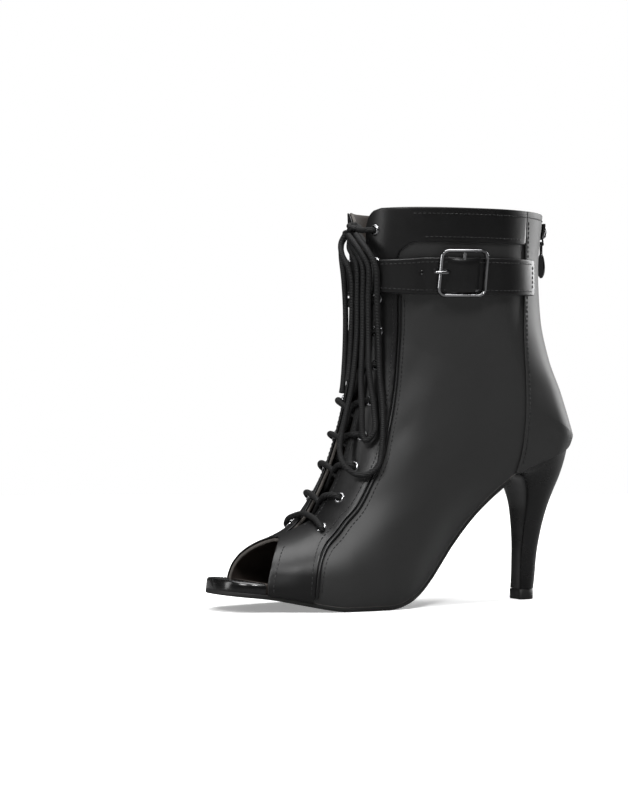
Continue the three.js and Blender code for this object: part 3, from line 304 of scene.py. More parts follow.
# Creases and fullness of the leather: x, z, half length, half width (mm), angle of the long axis in degrees,
# height (mm, below zero for a trough) and the side
CREASES = [
    (-84, 122, 26, 6.0, 64, -0.55, -1),
    (-74, 112, 24, 6.5, 62, 0.45, -1),
    (-92, 92, 20, 5.0, 48, -0.55, -1),
    (-84, 82, 20, 6.0, 46, 0.45, -1),
    (-108, 56, 20, 6.0, 38, -0.40, -1),
    (-98, 46, 22, 7.0, 30, 0.45, -1),
    (-40, 112, 34, 12.0, 78, -0.60, -1),
    (-28, 150, 34, 14.0, 96, 0.50, -1),
    (-62, 62, 26, 9.0, 36, -0.45, -1),
    (-52, 160, 26, 10.0, 84, -0.45, -1),
    (-4, 104, 26, 8.0, 110, -0.35, -1),
    (-80, 118, 26, 6.0, 66, -0.50, 1),
    (-90, 88, 22, 6.0, 46, -0.50, 1),
    (-44, 114, 34, 12.0, 76, -0.55, 1),
    (-30, 156, 34, 13.0, 94, 0.45, 1),
    (-100, 50, 24, 7.0, 32, 0.45, 1),
]


def front_height(share: Array) -> Array:
    """Reads a front share, 0 to 1 up to the instep and 1 to 2 on to the collar, as a height."""
    share = np.asarray(share, float)
    above = INSTEP_HEIGHT + (share - 1) * (BOOT_HEIGHT - INSTEP_HEIGHT)
    return np.where(share <= 1, share * INSTEP_HEIGHT, above)


class BootForm:
    """The boot's own surface, its seat line and its sole outline."""

    toe_tip = -0.858 * SHOE_LENGTH
    seat_back = 0.119 * SHOE_LENGTH
    toe_roundness = 2.2
    seat_roundness = 1.65

    def __init__(self) -> None:
        """Makes the curves that the sections are read from."""
        tread = 2.2 + CLEARANCE
        line = [(x, tread + rise * TOE_SPRING) for x, rise in TOE_LINE]
        line += [(x, tread + rise * (HEEL_HEIGHT - tread)) for x, rise in HEEL_LINE]
        self.seat_line = smooth_curve([x * SHOE_LENGTH for x, _ in line], [z for _, z in line])
        xs = [row[0] * SHOE_LENGTH for row in SOLE_OUTLINE]
        self.reach_outer = smooth_curve(xs, [row[2] * WIDTHS[row[1]] for row in SOLE_OUTLINE])
        self.reach_inner = smooth_curve(xs, [row[3] * WIDTHS[row[1]] for row in SOLE_OUTLINE])
        self.toe_from, self.seat_from = xs[0], xs[-1]
        steps = range(len(SECTIONS))
        self.columns = {
            name: smooth_curve(steps, [row[k] for row in SECTIONS])
            for k, name in enumerate(SECTION_COLUMNS)
            if name != "size"
        }
        self.width = smooth_curve(steps, [row[5] * WIDTHS[row[4]] for row in SECTIONS])

    def sole_half(self, x: Array, outer: Array, inset: float = 0.0) -> Array:
        """Gives the sole's half width at x on one side.

        Args:
            x: Places along the shoe.
            outer: True where the outer side is meant.
            inset: Distance that the outline is drawn in.

        Returns:
            Half widths, falling to zero at the round ends.
        """
        toe = (self.toe_from - x) / (self.toe_from - self.toe_tip - inset)
        seat = (x - self.seat_from) / (self.seat_back - inset - self.seat_from)
        t = np.clip(np.maximum(np.maximum(toe, seat), 0), 0, 1)
        reach = np.where(outer, self.reach_outer(x), self.reach_inner(x)) - inset
        power = np.where(toe > seat, self.toe_roundness, self.seat_roundness)
        return reach * (1 - t**power) ** (1 / power)

    def seat_up(self, x: Array) -> Array:
        """Gives the way up from the seat line at x."""
        rise = (self.seat_line(x + 0.5) - self.seat_line(x - 0.5)) / 1.0
        return unit(np.stack([-rise, np.zeros_like(rise), np.ones_like(rise)], axis=-1))

    def seat_point(self, x: Array, offset: Array) -> Array:
        """Gives the seat line's points at x, moved along its normal."""
        x = np.asarray(x, float)
        base = np.stack([x, np.zeros_like(x), self.seat_line(x)], axis=-1)
        return base + self.seat_up(x) * np.asarray(offset, float)[..., None]

    def section(self, u: Array) -> dict[str, Array]:
        """Reads the sections' ends, widths and shape at an array of rows.

        Args:
            u: The rows.

        Returns:
            Each named value at those rows.
        """
        value = {name: curve(u) for name, curve in self.columns.items()}
        back_x = value["backX"] * SHOE_LENGTH
        seat = self.seat_line(back_x)
        back_z = np.where(u < HEEL_ROW, seat, HEEL_HEIGHT + value["backZ"] * SHAFT_HEIGHT)
        zero = np.zeros_like(back_x)
        width = self.width(u)
        front_x, front_z = value["frontX"] * SHOE_LENGTH, front_height(value["frontZ"])
        value["front"] = np.stack([front_x, zero, front_z], axis=-1)
        value["back"] = np.stack([back_x, zero, back_z], axis=-1)
        value["outer"] = width * (0.5 - value["skew"])
        value["inner"] = width * (0.5 + value["skew"])
        value["round"] = np.where(u < HEEL_ROW, 0, back_x - self.seat_back)
        value["gap"] = value["gap"] * THROAT_WIDTH / 2
        return value

    def point(self, u: Array, turn: Array) -> Array:
        """Gives points of the upper's outer face.

        Args:
            u: Rows, from 0 at the toe to 19 at the collar.
            turn: From -1 at the outer foot edge over 0 at the front line to 1.

        Returns:
            Points in millimetres.
        """
        u = np.clip(np.asarray(u, float), 0, LAST_ROW)
        turn = np.asarray(turn, float)
        s = self.section(u)
        half = np.where(turn < 0, s["outer"], s["inner"])
        angle = (1 - 2 * np.abs(turn)) * (np.pi / 2)
        upper = angle >= 0
        sine = np.clip(np.sin(angle), 0, 1) ** (2 / s["high"])
        cosine = np.clip(np.cos(angle), 0, 1) ** (2 / s["high"])
        climb = np.clip(1 + np.sin(angle), 0, 1)
        share = np.where(upper, s["widest"] + (1 - s["widest"]) * sine, s["widest"] * climb)
        place = s["back"] + (s["front"] - s["back"]) * share[..., None]
        foot = s["full"] * self.sole_half(place[..., 0] - s["round"], turn < 0)
        y = np.where(upper, half * cosine, foot + (half - foot) * (1 - (1 - climb) ** s["low"]))
        place[..., 1] = np.where(turn < 0, -1, 1) * y
        return place

    def place(self, u: Array, turn: Array) -> tuple[Array, Array]:
        """Gives points of the outer face, with the leather's creases, and the way outwards at each.

        Args:
            u: Their rows.
            turn: Their turns.

        Returns:
            The points and the ways outwards.
        """
        u = np.clip(np.asarray(u, float), 0, LAST_ROW)
        turn = np.asarray(turn, float)
        du, dt = 0.02, 0.004
        t0, t1 = np.clip(turn - dt, -1, 1), np.clip(turn + dt, -1, 1)
        across = self.point(u, t1) - self.point(u, t0)
        above, below = np.clip(u + du, 0, LAST_ROW), np.clip(u - du, 0, LAST_ROW)
        along = self.point(above, turn) - self.point(below, turn)
        out = unit(np.cross(across, along))
        point = self.point(u, turn)
        s = self.section(u)
        centre = s["back"] + (s["front"] - s["back"]) * s["widest"][..., None]
        facing = np.sign(np.sum(out * (point - centre), axis=-1))
        out = out * np.where(facing == 0, 1, facing)[..., None]
        closed = (np.abs(turn) > 0.9999) & (u >= HEEL_ROW)
        out[..., 1] = np.where(closed, 0, out[..., 1])
        up = self.seat_up(point[..., 0])
        near = np.clip((np.abs(turn) - 0.9) / 0.1, 0, 1) ** 2 * (u < HEEL_ROW)
        out = out - up * (np.sum(out * up, axis=-1) * near)[..., None]
        return point + unit(out) * self.relief(point, turn)[..., None], unit(out)

    def relief(self, point: Array, turn: Array) -> Array:
        """Gives the height of the leather's creases and fullness at points of the face.

        Args:
            point: The points.
            turn: Their turns.

        Returns:
            The heights.
        """
        height = np.zeros(point.shape[:-1])
        for x, z, long, wide, degrees, rise, side in CREASES:
            c, s = math.cos(math.radians(degrees)), math.sin(math.radians(degrees))
            dx, dz = point[..., 0] - x, point[..., 2] - z
            a = (dx * c + dz * s) / long
            b = (dz * c - dx * s) / wide
            b = b + 0.25 * a * a
            height += rise * np.exp(-(a * a) * 1.6 - b * b * 1.6) * (np.sign(turn) == side)
        away = np.clip((np.abs(turn) - 0.16) / 0.08, 0, 1)
        foot = np.clip((1 - np.abs(turn)) / 0.12, 0, 1)
        return height * away * foot

    def locate(self, x: Array, z: Array, side: Side) -> tuple[Array, Array]:
        """Finds the rows and turns of points that are seen from the side.

        Args:
            x: Places along the shoe.
            z: Heights.
            side: The side that is looked at.

        Returns:
            Rows and turns.
        """
        x, z = np.asarray(x, float), np.asarray(z, float)
        rows, steps = np.meshgrid(np.linspace(0, LAST_ROW, 115), np.linspace(0.01, 0.99, 60), indexing="ij")
        known = self.point(rows, steps * side.value)
        off_x = known[..., 0].ravel()[None] - x[:, None]
        off_z = known[..., 2].ravel()[None] - z[:, None]
        near = np.argmin(off_x**2 + off_z**2, axis=1)
        u, t = rows.ravel()[near], steps.ravel()[near]
        for _ in range(14):
            p = self.point(u, t * side.value)
            pu = self.point(u + 0.01, t * side.value) - self.point(u - 0.01, t * side.value)
            pt = self.point(u, (t + 0.002) * side.value) - self.point(u, (t - 0.002) * side.value)
            a, b = pu[:, 0] / 0.02, pt[:, 0] / 0.004
            c, d = pu[:, 2] / 0.02, pt[:, 2] / 0.004
            ex, ez = x - p[:, 0], z - p[:, 2]
            det = a * d - b * c
            det = np.where(np.abs(det) < 1e-6, 1e-6, det)
            u = np.clip(u + np.clip((d * ex - b * ez) / det, -0.5, 0.5), 0, LAST_ROW)
            t = np.clip(t + np.clip((a * ez - c * ex) / det, -0.05, 0.05), 0.002, 0.998)
        return u, t * side.value

    def at_width(self, u: Array, y: Array) -> Array:
        """Gives the turns at rows where the face lies at a distance y from the middle, in front.

        Args:
            u: The rows.
            y: The distances.

        Returns:
            The turns.
        """
        s = self.section(np.asarray(u, float))
        half = np.where(y < 0, s["outer"], s["inner"])
        angle = np.arccos(np.clip(np.abs(y) / half, 0, 1) ** (s["high"] / 2))
        return np.sign(y) * (1 - angle / (np.pi / 2)) / 2

    def at_height(self, z: float, y: float) -> float:
        """Finds the row where the front face reaches a height at a distance y from the middle.

        Args:
            z: The height.
            y: The distance.

        Returns:
            The row.
        """
        low, high = 2.0, float(LAST_ROW)
        for _ in range(40):
            middle = (low + high) / 2
            u = np.array([middle])
            if self.point(u, self.at_width(u, np.array([y])))[0, 2] < z:
                low = middle
            else:
                high = middle
        return (low + high) / 2

    def above(self, u: float, y: float, height: float) -> Array:
        """Gives the point at a height above the face, at a row and a distance from the middle."""
        rows = np.array([u])
        point, out = self.place(rows, self.at_width(rows, np.array([y])))
        return point[0] + out[0] * height

    def side_line(self, line: Array, side: Side, height: float) -> tuple[Array, Array]:
        """Lays a line that is seen from the side on the face, at a height above it."""
        point, out = self.place(*self.locate(line[:, 0], line[:, 1], side))
        return point + out * height, out


FORM = BootForm()
EYESTAY_LINE = spline([(x * SHOE_LENGTH, float(front_height(z))) for x, z in EYESTAY_SEAM], 1.2)
BACK_LINE = spline([(x * SHOE_LENGTH, HEEL_HEIGHT + z * SHAFT_HEIGHT) for x, z in BACK_SEAM], 1.5)
BAND_LOW = float(front_height(1.822))
EYELET_ROWS = [
    (FORM.at_height(up * BOOT_HEIGHT, -away * THROAT_WIDTH), away * THROAT_WIDTH) for up, away in EYELETS
]


def moved(line: Array, distance: float) -> Array:
    """Moves a line sideways, to the right of its direction."""
    way = unit(np.gradient(line, axis=0))
    return line + distance * np.stack([way[:, 1], -way[:, 0]], axis=1)


class Grain(Enum):
    """The kinds of small relief that a finish shows."""

    SMOOTH = "smooth"
    LEATHER = "leather"
    BRAID = "braid"
    WEAVE = "weave"
    BRUSHED = "brushed"


@dataclass(frozen=True)
class Finish:
    """A finish: its colours, its gloss and its small relief."""

    name: str
    slot: str
    color: tuple[float, float, float]
    worn: tuple[float, float, float]
    roughness: tuple[float, float]
    metallic: float = 0.0
    coat: float = 0.0
    coat_roughness: float = 0.2
    specular: float = 0.5
    grain: Grain = Grain.LEATHER
    scale: float = 900.0
    depth: float = 0.12
    waves: float = 0.0

    def material(self) -> bpy.types.Material:
        """Makes the finish's node material, once."""
        known = bpy.data.materials.get(self.name)
        if known:
            return known
        made = bpy.data.materials.new(self.name)
        made.use_nodes = True
        nodes, links = made.node_tree.nodes, made.node_tree.links
        shader = nodes["Principled BSDF"]
        shader.inputs["Metallic"].default_value = self.metallic
        shader.inputs["Coat Weight"].default_value = self.coat
        shader.inputs["Coat Roughness"].default_value = self.coat_roughness
        shader.inputs["Coat IOR"].default_value = 1.5
        shader.inputs["Specular IOR Level"].default_value = self.specular
        place = nodes.new("ShaderNodeTexCoord")
        cloudy = nodes.new("ShaderNodeTexNoise")
        cloudy.inputs["Scale"].default_value = 38.0
        cloudy.inputs["Detail"].default_value = 5.0
        links.new(place.outputs["Object"], cloudy.inputs["Vector"])
        tint = nodes.new("ShaderNodeMix")
        tint.data_type = "RGBA"
        tint.inputs["A"].default_value = (*self.color, 1)
        tint.inputs["B"].default_value = (*self.worn, 1)
        links.new(cloudy.outputs["Fac"], tint.inputs["Factor"])
        links.new(tint.outputs["Result"], shader.inputs["Base Color"])
        gloss = nodes.new("ShaderNodeMapRange")
        gloss.inputs["From Min"].default_value = 0.3
        gloss.inputs["From Max"].default_value = 0.7
        gloss.inputs["To Min"].default_value = self.roughness[0]
        gloss.inputs["To Max"].default_value = self.roughness[1]
        links.new(cloudy.outputs["Fac"], gloss.inputs["Value"])
        links.new(gloss.outputs["Result"], shader.inputs["Roughness"])
        if self.grain is not Grain.SMOOTH:
            self.add_relief(made, place, shader)
        return made

    def add_relief(self, made: bpy.types.Material, place: bpy.types.Node, shader: bpy.types.Node) -> None:
        """Links the finish's small relief to the shader's normal.

        Args:
            made: The material that gets the nodes.
            place: Its texture coordinate node.
            shader: Its shader node.
        """
        nodes, links = made.node_tree.nodes, made.node_tree.links
        if self.grain is Grain.LEATHER:
            fine = nodes.new("ShaderNodeTexVoronoi")
            fine.feature = "DISTANCE_TO_EDGE"
            fine.inputs["Scale"].default_value = self.scale
            height = fine.outputs["Distance"]
        elif self.grain is Grain.BRUSHED:
            fine = nodes.new("ShaderNodeTexNoise")
            fine.inputs["Scale"].default_value = self.scale
            fine.inputs["Detail"].default_value = 3.0
            height = fine.outputs["Fac"]
        else:
            fine = nodes.new("ShaderNodeTexWave")
            fine.bands_direction = "DIAGONAL" if self.grain is Grain.BRAID else "Z"
            fine.inputs["Scale"].default_value = self.scale
            fine.inputs["Distortion"].default_value = 1.5
            fine.inputs["Detail"].default_value = 2.0
            height = fine.outputs["Fac"]
        links.new(place.outputs["Object"], fine.inputs["Vector"])
        bump = nodes.new("ShaderNodeBump")
        bump.inputs["Strength"].default_value = self.depth
        bump.inputs["Distance"].default_value = 0.0003
        links.new(height, bump.inputs["Height"])
        links.new(bump.outputs["Normal"], shader.inputs["Normal"])
        if self.waves > 0:
            slow = nodes.new("ShaderNodeTexNoise")
            slow.inputs["Scale"].default_value = 60.0
            slow.inputs["Detail"].default_value = 2.0
            links.new(place.outputs["Object"], slow.inputs["Vector"])
            soft = nodes.new("ShaderNodeBump")
            soft.inputs["Strength"].default_value = self.waves
            soft.inputs["Distance"].default_value = 0.002
            links.new(slow.outputs["Fac"], soft.inputs["Height"])
            links.new(soft.outputs["Normal"], bump.inputs["Normal"])
        if self.coat > 0 and self.waves > 0:
            links.new(bump.outputs["Normal"], shader.inputs["Coat Normal"])


BLACK_LEATHER = Finish(
    "black_leather",
    "black_leather",
    (0.0026, 0.0026, 0.0028),
    (0.0042, 0.0041, 0.0042),
    (0.34, 0.44),
    specular=0.30,
    coat=0.12,
    coat_roughness=0.26,
    scale=1500.0,
    depth=0.10,
    waves=0.10,
)
FACING_LEATHER = Finish(
    "facing_leather",
    "leather_edge",
    (0.0026, 0.0026, 0.0028),
    (0.0042, 0.0041, 0.0042),
    (0.35, 0.46),
    specular=0.32,
    coat=0.12,
    coat_roughness=0.28,
    scale=1400.0,
    depth=0.12,
    waves=0.12,
)
STRAP_LEATHER = Finish(
    "strap_leather",
    "black_leather",
    (0.0026, 0.0026, 0.0028),
    (0.0044, 0.0043, 0.0044),
    (0.32, 0.42),
    specular=0.34,
    coat=0.16,
    coat_roughness=0.22,
    scale=1400.0,
    depth=0.12,
    waves=0.10,
)
LIP_LEATHER = Finish(
    "lip_leather",
    "insole_sock",
    (0.0022, 0.0022, 0.0024),
    (0.0036, 0.0036, 0.0036),
    (0.16, 0.26),
    specular=0.40,
    coat=0.35,
    coat_roughness=0.10,
    scale=1600.0,
    depth=0.05,
    waves=0.05,
)
HEEL_LEATHER = Finish(
    "heel_leather",
    "heel_cover",
    (0.0026, 0.0026, 0.0028),
    (0.0042, 0.0041, 0.0042),
    (0.24, 0.34),
    specular=0.34,
    coat=0.16,
    coat_roughness=0.18,
    scale=1500.0,
    depth=0.06,
    waves=0.06,
)
LINING = Finish(
    "brown_lining",
    "insole_sock",
    (0.026, 0.019, 0.015),
    (0.042, 0.032, 0.026),
    (0.70, 0.85),
    scale=700.0,
    depth=0.25,
)
LINING_EDGE = Finish(
    "lining_edge",
    "insole_sock",
    (0.045, 0.040, 0.035),
    (0.070, 0.062, 0.055),
    (0.6, 0.75),
    scale=900.0,
    depth=0.2,
)
THREAD = Finish(
    "black_thread",
    "black_leather",
    (0.0055, 0.0055, 0.0058),
    (0.0100, 0.0100, 0.0105),
    (0.42, 0.55),
    grain=Grain.BRAID,
    scale=2600.0,
    depth=0.3,
)
SOLE_RUBBER = Finish(
    "sole_rubber",
    "sole_black",
    (0.004, 0.004, 0.004),
    (0.008, 0.0078, 0.0075),
    (0.45, 0.62),
    grain=Grain.BRUSHED,
    scale=2200.0,
    depth=0.15,
)
GUNMETAL = Finish(
    "gunmetal",
    "gunmetal",
    (0.012, 0.012, 0.014),
    (0.026, 0.026, 0.029),
    (0.12, 0.20),
    metallic=1.0,
    grain=Grain.BRUSHED,
    scale=1800.0,
    depth=0.03,
)
SILVER = Finish(
    "silver_metal",
    "silver",
    (0.30, 0.30, 0.31),
    (0.42, 0.42, 0.43),
    (0.18, 0.30),
    metallic=1.0,
    grain=Grain.BRUSHED,
    scale=2000.0,
    depth=0.03,
)
LACE = Finish(
    "black_lace",
    "lace_cord",
    (0.0024, 0.0024, 0.0026),
    (0.0060, 0.0060, 0.0063),
    (0.60, 0.78),
    specular=0.30,
    grain=Grain.BRAID,
    scale=420.0,
    depth=0.75,
)
ZIP_CLOTH = Finish(
    "zip_cloth",
    "zip_cloth",
    (0.0036, 0.0036, 0.0040),
    (0.0060, 0.0060, 0.0064),
    (0.75, 0.9),
    grain=Grain.WEAVE,
    scale=900.0,
    depth=0.5,
)
TEETH = Finish(
    "zip_teeth",
    "zip_cloth",
    (0.020, 0.020, 0.022),
    (0.03, 0.03, 0.032),
    (0.30, 0.42),
    grain=Grain.BRUSHED,
    scale=1800.0,
    depth=0.05,
)


@dataclass
class Shape:
    """A mesh in millimetres that is made before it becomes a piece."""

    points: list[Array] = field(default_factory=list)
    faces: list[tuple[int, ...]] = field(default_factory=list)
    marks: list[int] = field(default_factory=list)
    count: int = 0

    def add(self, points: Array, faces: Sequence[Sequence[int]], mark: int = 0) -> None:
        """Adds corners and faces, with the number of the finish that they take.

        Args:
            points: The corners.
            faces: Each face's corners by number.
            mark: The number of the finish.
        """
        self.points.append(np.asarray(points, float))
        self.faces += [tuple(int(i) + self.count for i in face) for face in faces]
        self.marks += [mark] * len(faces)
        self.count += len(points)

    def add_rings(self, rings: Array, mark: int = 0, closed: bool = False, capped: bool = True) -> None:
        """Adds a skin through rings of equal length.

        Args:
            rings: Rings of points, one after another.
            mark: Number of the finish.
            closed: True where the last ring meets the first.
            capped: True where the end rings are filled.
        """
        rings = np.asarray(rings, float)
        n, m = rings.shape[:2]
        faces = []
        for i in range(n if closed else n - 1):
            j = (i + 1) % n
            faces += [(i * m + k, i * m + (k + 1) % m, j * m + (k + 1) % m, j * m + k) for k in range(m)]
        if capped and not closed:
            faces += [tuple(reversed(range(m))), tuple((n - 1) * m + k for k in range(m))]
        self.add(rings.reshape(-1, 3), faces, mark)

    def add_tube(
        self, line: Array, radius: float | Array, sides: int = 12, closed: bool = False, mark: int = 0
    ) -> None:
        """Adds a round tube along a line of points.

        Args:
            line: Points of the middle line.
            radius: Radius of the tube, one or one for each point.
            sides: Corners round the tube.
            closed: True for a ring.
            mark: Number of the finish.
        """
        line = np.asarray(line, float)
        if closed:
            way = unit(np.roll(line, -1, axis=0) - np.roll(line, 1, axis=0))
        else:
            way = unit(np.gradient(line, axis=0))
        first = np.cross(way[0], [0.31, 0.17, 0.93])
        across = [unit(first)]
        for w in way[1:]:
            across.append(unit(across[-1] - w * np.dot(across[-1], w)))
        a = np.array(across)
        b = np.cross(way, a)
        if closed:
            twist = math.atan2(float(np.dot(a[-1], b[0])), float(np.dot(a[-1], a[0])))
            turn = -twist * np.linspace(0, 1, len(line))[:, None]
            a, b = a * np.cos(turn) + b * np.sin(turn), b * np.cos(turn) - a * np.sin(turn)
        r = np.broadcast_to(np.asarray(radius, float), (len(line),))[:, None, None]
        angle = np.linspace(0, 2 * np.pi, sides, endpoint=False)[None, :, None]
        rings = line[:, None] + r * (np.cos(angle) * a[:, None] + np.sin(angle) * b[:, None])
        self.add_rings(rings, mark, closed)

    def add_turned(
        self, profile: Sequence[tuple[float, float]], point: Array, out: Array, sides: int = 28, mark: int = 0
    ) -> None:
        """Adds a turned ring through a closed profile of radius and height, with its axis along out.

        Args:
            profile: The radii and heights.
            point: The ring's middle.
            out: The way of its axis.
            sides: How many sides it has.
            mark: The number of the finish.
        """
        out = unit(np.asarray(out, float))
        a = unit(np.cross(out, [0.2, 0.1, 0.97]))
        b = np.cross(out, a)
        angle = np.linspace(0, 2 * np.pi, sides, endpoint=False)
        spokes = np.cos(angle)[:, None] * a + np.sin(angle)[:, None] * b
        rings = np.array([[point + spoke * r + out * h for r, h in profile] for spoke in spokes])
        self.add_rings(rings, mark, closed=True)


def make_piece(
    name: str,
    shape: Shape,
    finishes: Sequence[Finish],
    nodes: Sequence[str] = (),
    body: str = "boot",
    sharp: float = 42.0,
    weld: float = 0.0,
) -> bpy.types.Object:
    """Makes a shape a piece of the scene, which rides on a body.

    Args:
        name: Name of the piece.
        shape: Its mesh in millimetres.
        finishes: Its finishes, in the order of the shape's marks.
        nodes: CAD nodes that it stands for.
        body: The body that it rides on.
        sharp: Angle in degrees above which an edge shows as sharp.
        weld: Distance in millimetres under which corners are joined.

    Returns:
        The piece.
    """
    mesh = bpy.data.meshes.new(name)
    mesh.from_pydata((np.vstack(shape.points) * MM).tolist(), [], shape.faces)
    for finish in finishes:
        mesh.materials.append(finish.material())
    mesh.polygons.foreach_set("material_index", shape.marks)
    work = bmesh.new()
    work.from_mesh(mesh)
    if weld > 0:
        bmesh.ops.remove_doubles(work, verts=work.verts, dist=weld * MM)
    bmesh.ops.recalc_face_normals(work, faces=work.faces)
    work.to_mesh(mesh)
    work.free()
    mesh.polygons.foreach_set("use_smooth", [True] * len(mesh.polygons))
    mesh.set_sharp_from_angle(angle=math.radians(sharp))
    piece = bpy.data.objects.new(name, mesh)
    bpy.context.scene.collection.objects.link(piece)
    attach(piece, body)
    if nodes:
        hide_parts(*nodes)
    LOG.info("%s: %d faces", name, len(mesh.polygons))
    return piece


Field = Callable[[Array, Array, Array], Array]


@dataclass
class Panel:
    """A leather panel that is cut from a grid on the boot's face and given a thickness and a round rim."""

    low: float
    top: float
    cuts: list[Field]
    rows: tuple[float, float] = (0.0, float(LAST_ROW))
    row_steps: int = 150
    turns: tuple[float, float] = (-1.0, 1.0)
    turn_steps: int = 132
    roll: float = 0.45
    lift: Callable[[Array], Array] | None = None

    def grid(self) -> tuple[Array, list[tuple[int, ...]]]:
        """Makes the whole grid's rows and turns, and its faces."""
        share = np.linspace(0, 1, self.row_steps)
        u = self.rows[0] + share * (self.rows[1] - self.rows[0])
        if self.rows[0] < HEEL_ROW < self.rows[1]:
            u[np.argmin(np.abs(u - HEEL_ROW))] = HEEL_ROW
        w = np.linspace(-1, 1, self.turn_steps + 1)
        bent = np.sign(w) * np.where(np.abs(w) < 0.5, 0.5 * (2 * np.abs(w)) ** 1.35, np.abs(w))
        bent = bent[(bent >= self.turns[0] - 1e-9) & (bent <= self.turns[1] + 1e-9)]
        rows, turns = np.meshgrid(u, bent, indexing="ij")
        m = len(bent)
        faces = [
            (i * m + j, i * m + j + 1, (i + 1) * m + j + 1, (i + 1) * m + j)
            for i in range(len(u) - 1)
            for j in range(m - 1)
        ]
        return np.stack([rows.ravel(), turns.ravel()], axis=1), faces

    def clip(
        self, at: Array, faces: list[tuple[int, ...]], value: Array
    ) -> tuple[Array, list[tuple[int, ...]]]:
        """Cuts faces along the line where a value falls to zero.

        Args:
            at: Rows and turns of the corners.
            faces: The faces.
            value: A value at each corner, above zero where the leather stays.

        Returns:
            The new corners and faces.
        """
        value = np.where(np.abs(value) < 0.02, 0.02, value)
        inside = value > 0
        extra: list[Array] = []
        crossings: dict[tuple[int, int], int] = {}
        kept: list[tuple[int, ...]] = []
        for face in faces:
            flags = [bool(inside[i]) for i in face]
            if all(flags):
                kept.append(face)
            if all(flags) or not any(flags):
                continue
            corners = []
            for k, a in enumerate(face):
                b = face[(k + 1) % len(face)]
                if inside[a]:
                    corners.append(a)
                if inside[a] != inside[b]:
                    key = (min(a, b), max(a, b))
                    if key not in crossings:
                        share = value[a] / (value[a] - value[b])
                        crossings[key] = len(at) + len(extra)
                        extra.append(at[a] + (at[b] - at[a]) * share)
                    corners.append(crossings[key])
            if len(corners) > 2:
                kept.append(tuple(corners))
        return (np.vstack([at, np.array(extra)]) if extra else at), kept

    def shape(self) -> Shape:
        """Cuts the panel and gives it its thickness and its rim.

        Returns:
            The panel, with marks 0 outside, 1 inside and 2 on the rim.
        """
        at, faces = self.grid()
        for cut in self.cuts:
            point = FORM.point(at[:, 0], at[:, 1])
            at, faces = self.clip(at, faces, cut(point, at[:, 0], at[:, 1]))
        used = sorted({i for face in faces for i in face})
        at = at[used]
        point, out = FORM.place(at[:, 0], at[:, 1])
        keys: dict[tuple[float, ...], int] = {}
        renamed = {}
        for new, old in enumerate(used):
            renamed[old] = keys.setdefault(tuple(np.round(point[new], 3)), new)
        clean = []
        for face in faces:
            corners = [renamed[i] for i in face]
            corners = [c for k, c in enumerate(corners) if c != corners[k - 1]]
            if len(set(corners)) > 2:
                clean.append(tuple(corners))
        return self.thicken(at, point, out, clean)

    def thicken(self, at: Array, point: Array, out: Array, faces: list[tuple[int, ...]]) -> Shape:
        """Gives cut faces a thickness.

        Args:
            at: Rows and turns of the corners.
            point: The corners on the boot's face.
            out: The way outwards at each.
            faces: The faces.

        Returns:
            The closed panel.
        """
        raised = self.lift(at[:, 1]) if self.lift else np.zeros(len(at))
        top = point + out * (self.top + raised)[:, None]
        low = point + out * (self.low + raised)[:, None]
        edges: dict[tuple[int, int], tuple[int, int, int]] = {}
        for n, face in enumerate(faces):
            for k, a in enumerate(face):
                b = face[(k + 1) % len(face)]
                key = (min(a, b), max(a, b))
                if key in edges:
                    edges.pop(key)
                else:
                    edges[key] = (a, b, n)
        push = np.zeros_like(point)
        for a, b, n in edges.values():
            side = np.cross(point[b] - point[a], out[a] + out[b])
            inward = point[list(faces[n])].mean(axis=0) - point[a]
            side = unit(side) * (-1 if np.dot(side, inward) > 0 else 1)
            push[a] += side
            push[b] += side
        push = unit(push)
        rim = sorted({i for a, b, _ in edges.values() for i in (a, b)})
        number = {v: k for k, v in enumerate(rim)}
        steps = 4
        shape = Shape()
        count = len(point)
        layers = [top, low]
        middle, half = (top[rim] + low[rim]) / 2, (top[rim] - low[rim]) / 2
        for k in range(1, steps):
            angle = math.pi * k / steps
            layers.append(middle + half * math.cos(angle) + push[rim] * self.roll * math.sin(angle))
        shape.points.append(np.vstack(layers))
        shape.count = sum(len(layer) for layer in layers)
        shape.faces += list(faces)
        shape.marks += [0] * len(faces)
        shape.faces += [tuple(i + count for i in reversed(face)) for face in faces]
        shape.marks += [1] * len(faces)

        def corner(v: int, k: int) -> int:
            """Gives the number of a rim corner on one of the rim's layers.

            Args:
                v: The corner.
                k: The layer.

            Returns:
                The number.
            """
            if k == 0:
                return v
            if k == steps:
                return v + count
            return 2 * count + (k - 1) * len(rim) + number[v]

        for a, b, _ in edges.values():
            for k in range(steps):
                shape.faces.append((corner(b, k), corner(a, k), corner(a, k + 1), corner(b, k + 1)))
                shape.marks.append(2)
        return shape


def throat_cut(point: Array, u: Array, turn: Array) -> Array:
    """Keeps the leather outside the throat's slot and its round corners at the collar.

    Args:
        point: The points.
        u: Their rows.
        turn: Their turns.

    Returns:
        How far each point lies inside the leather.
    """
    below = np.clip(BOOT_HEIGHT - point[:, 2], 0, 12.0)
    widening = 12.0 - np.sqrt(np.maximum(144.0 - (12.0 - below) ** 2, 0))
    start = 1.52
    gap = np.maximum(FORM.section(u)["gap"], 0.6) * np.sqrt(np.clip((u - start) / 0.25, 0, 1))
    edge = np.where(below >= 12.0, gap, THROAT_WIDTH / 2 + widening)
    beside = np.abs(point[:, 1]) - edge
    return np.maximum(np.maximum(beside, (start - u) * 10), (np.abs(turn) - 0.5) * 50)


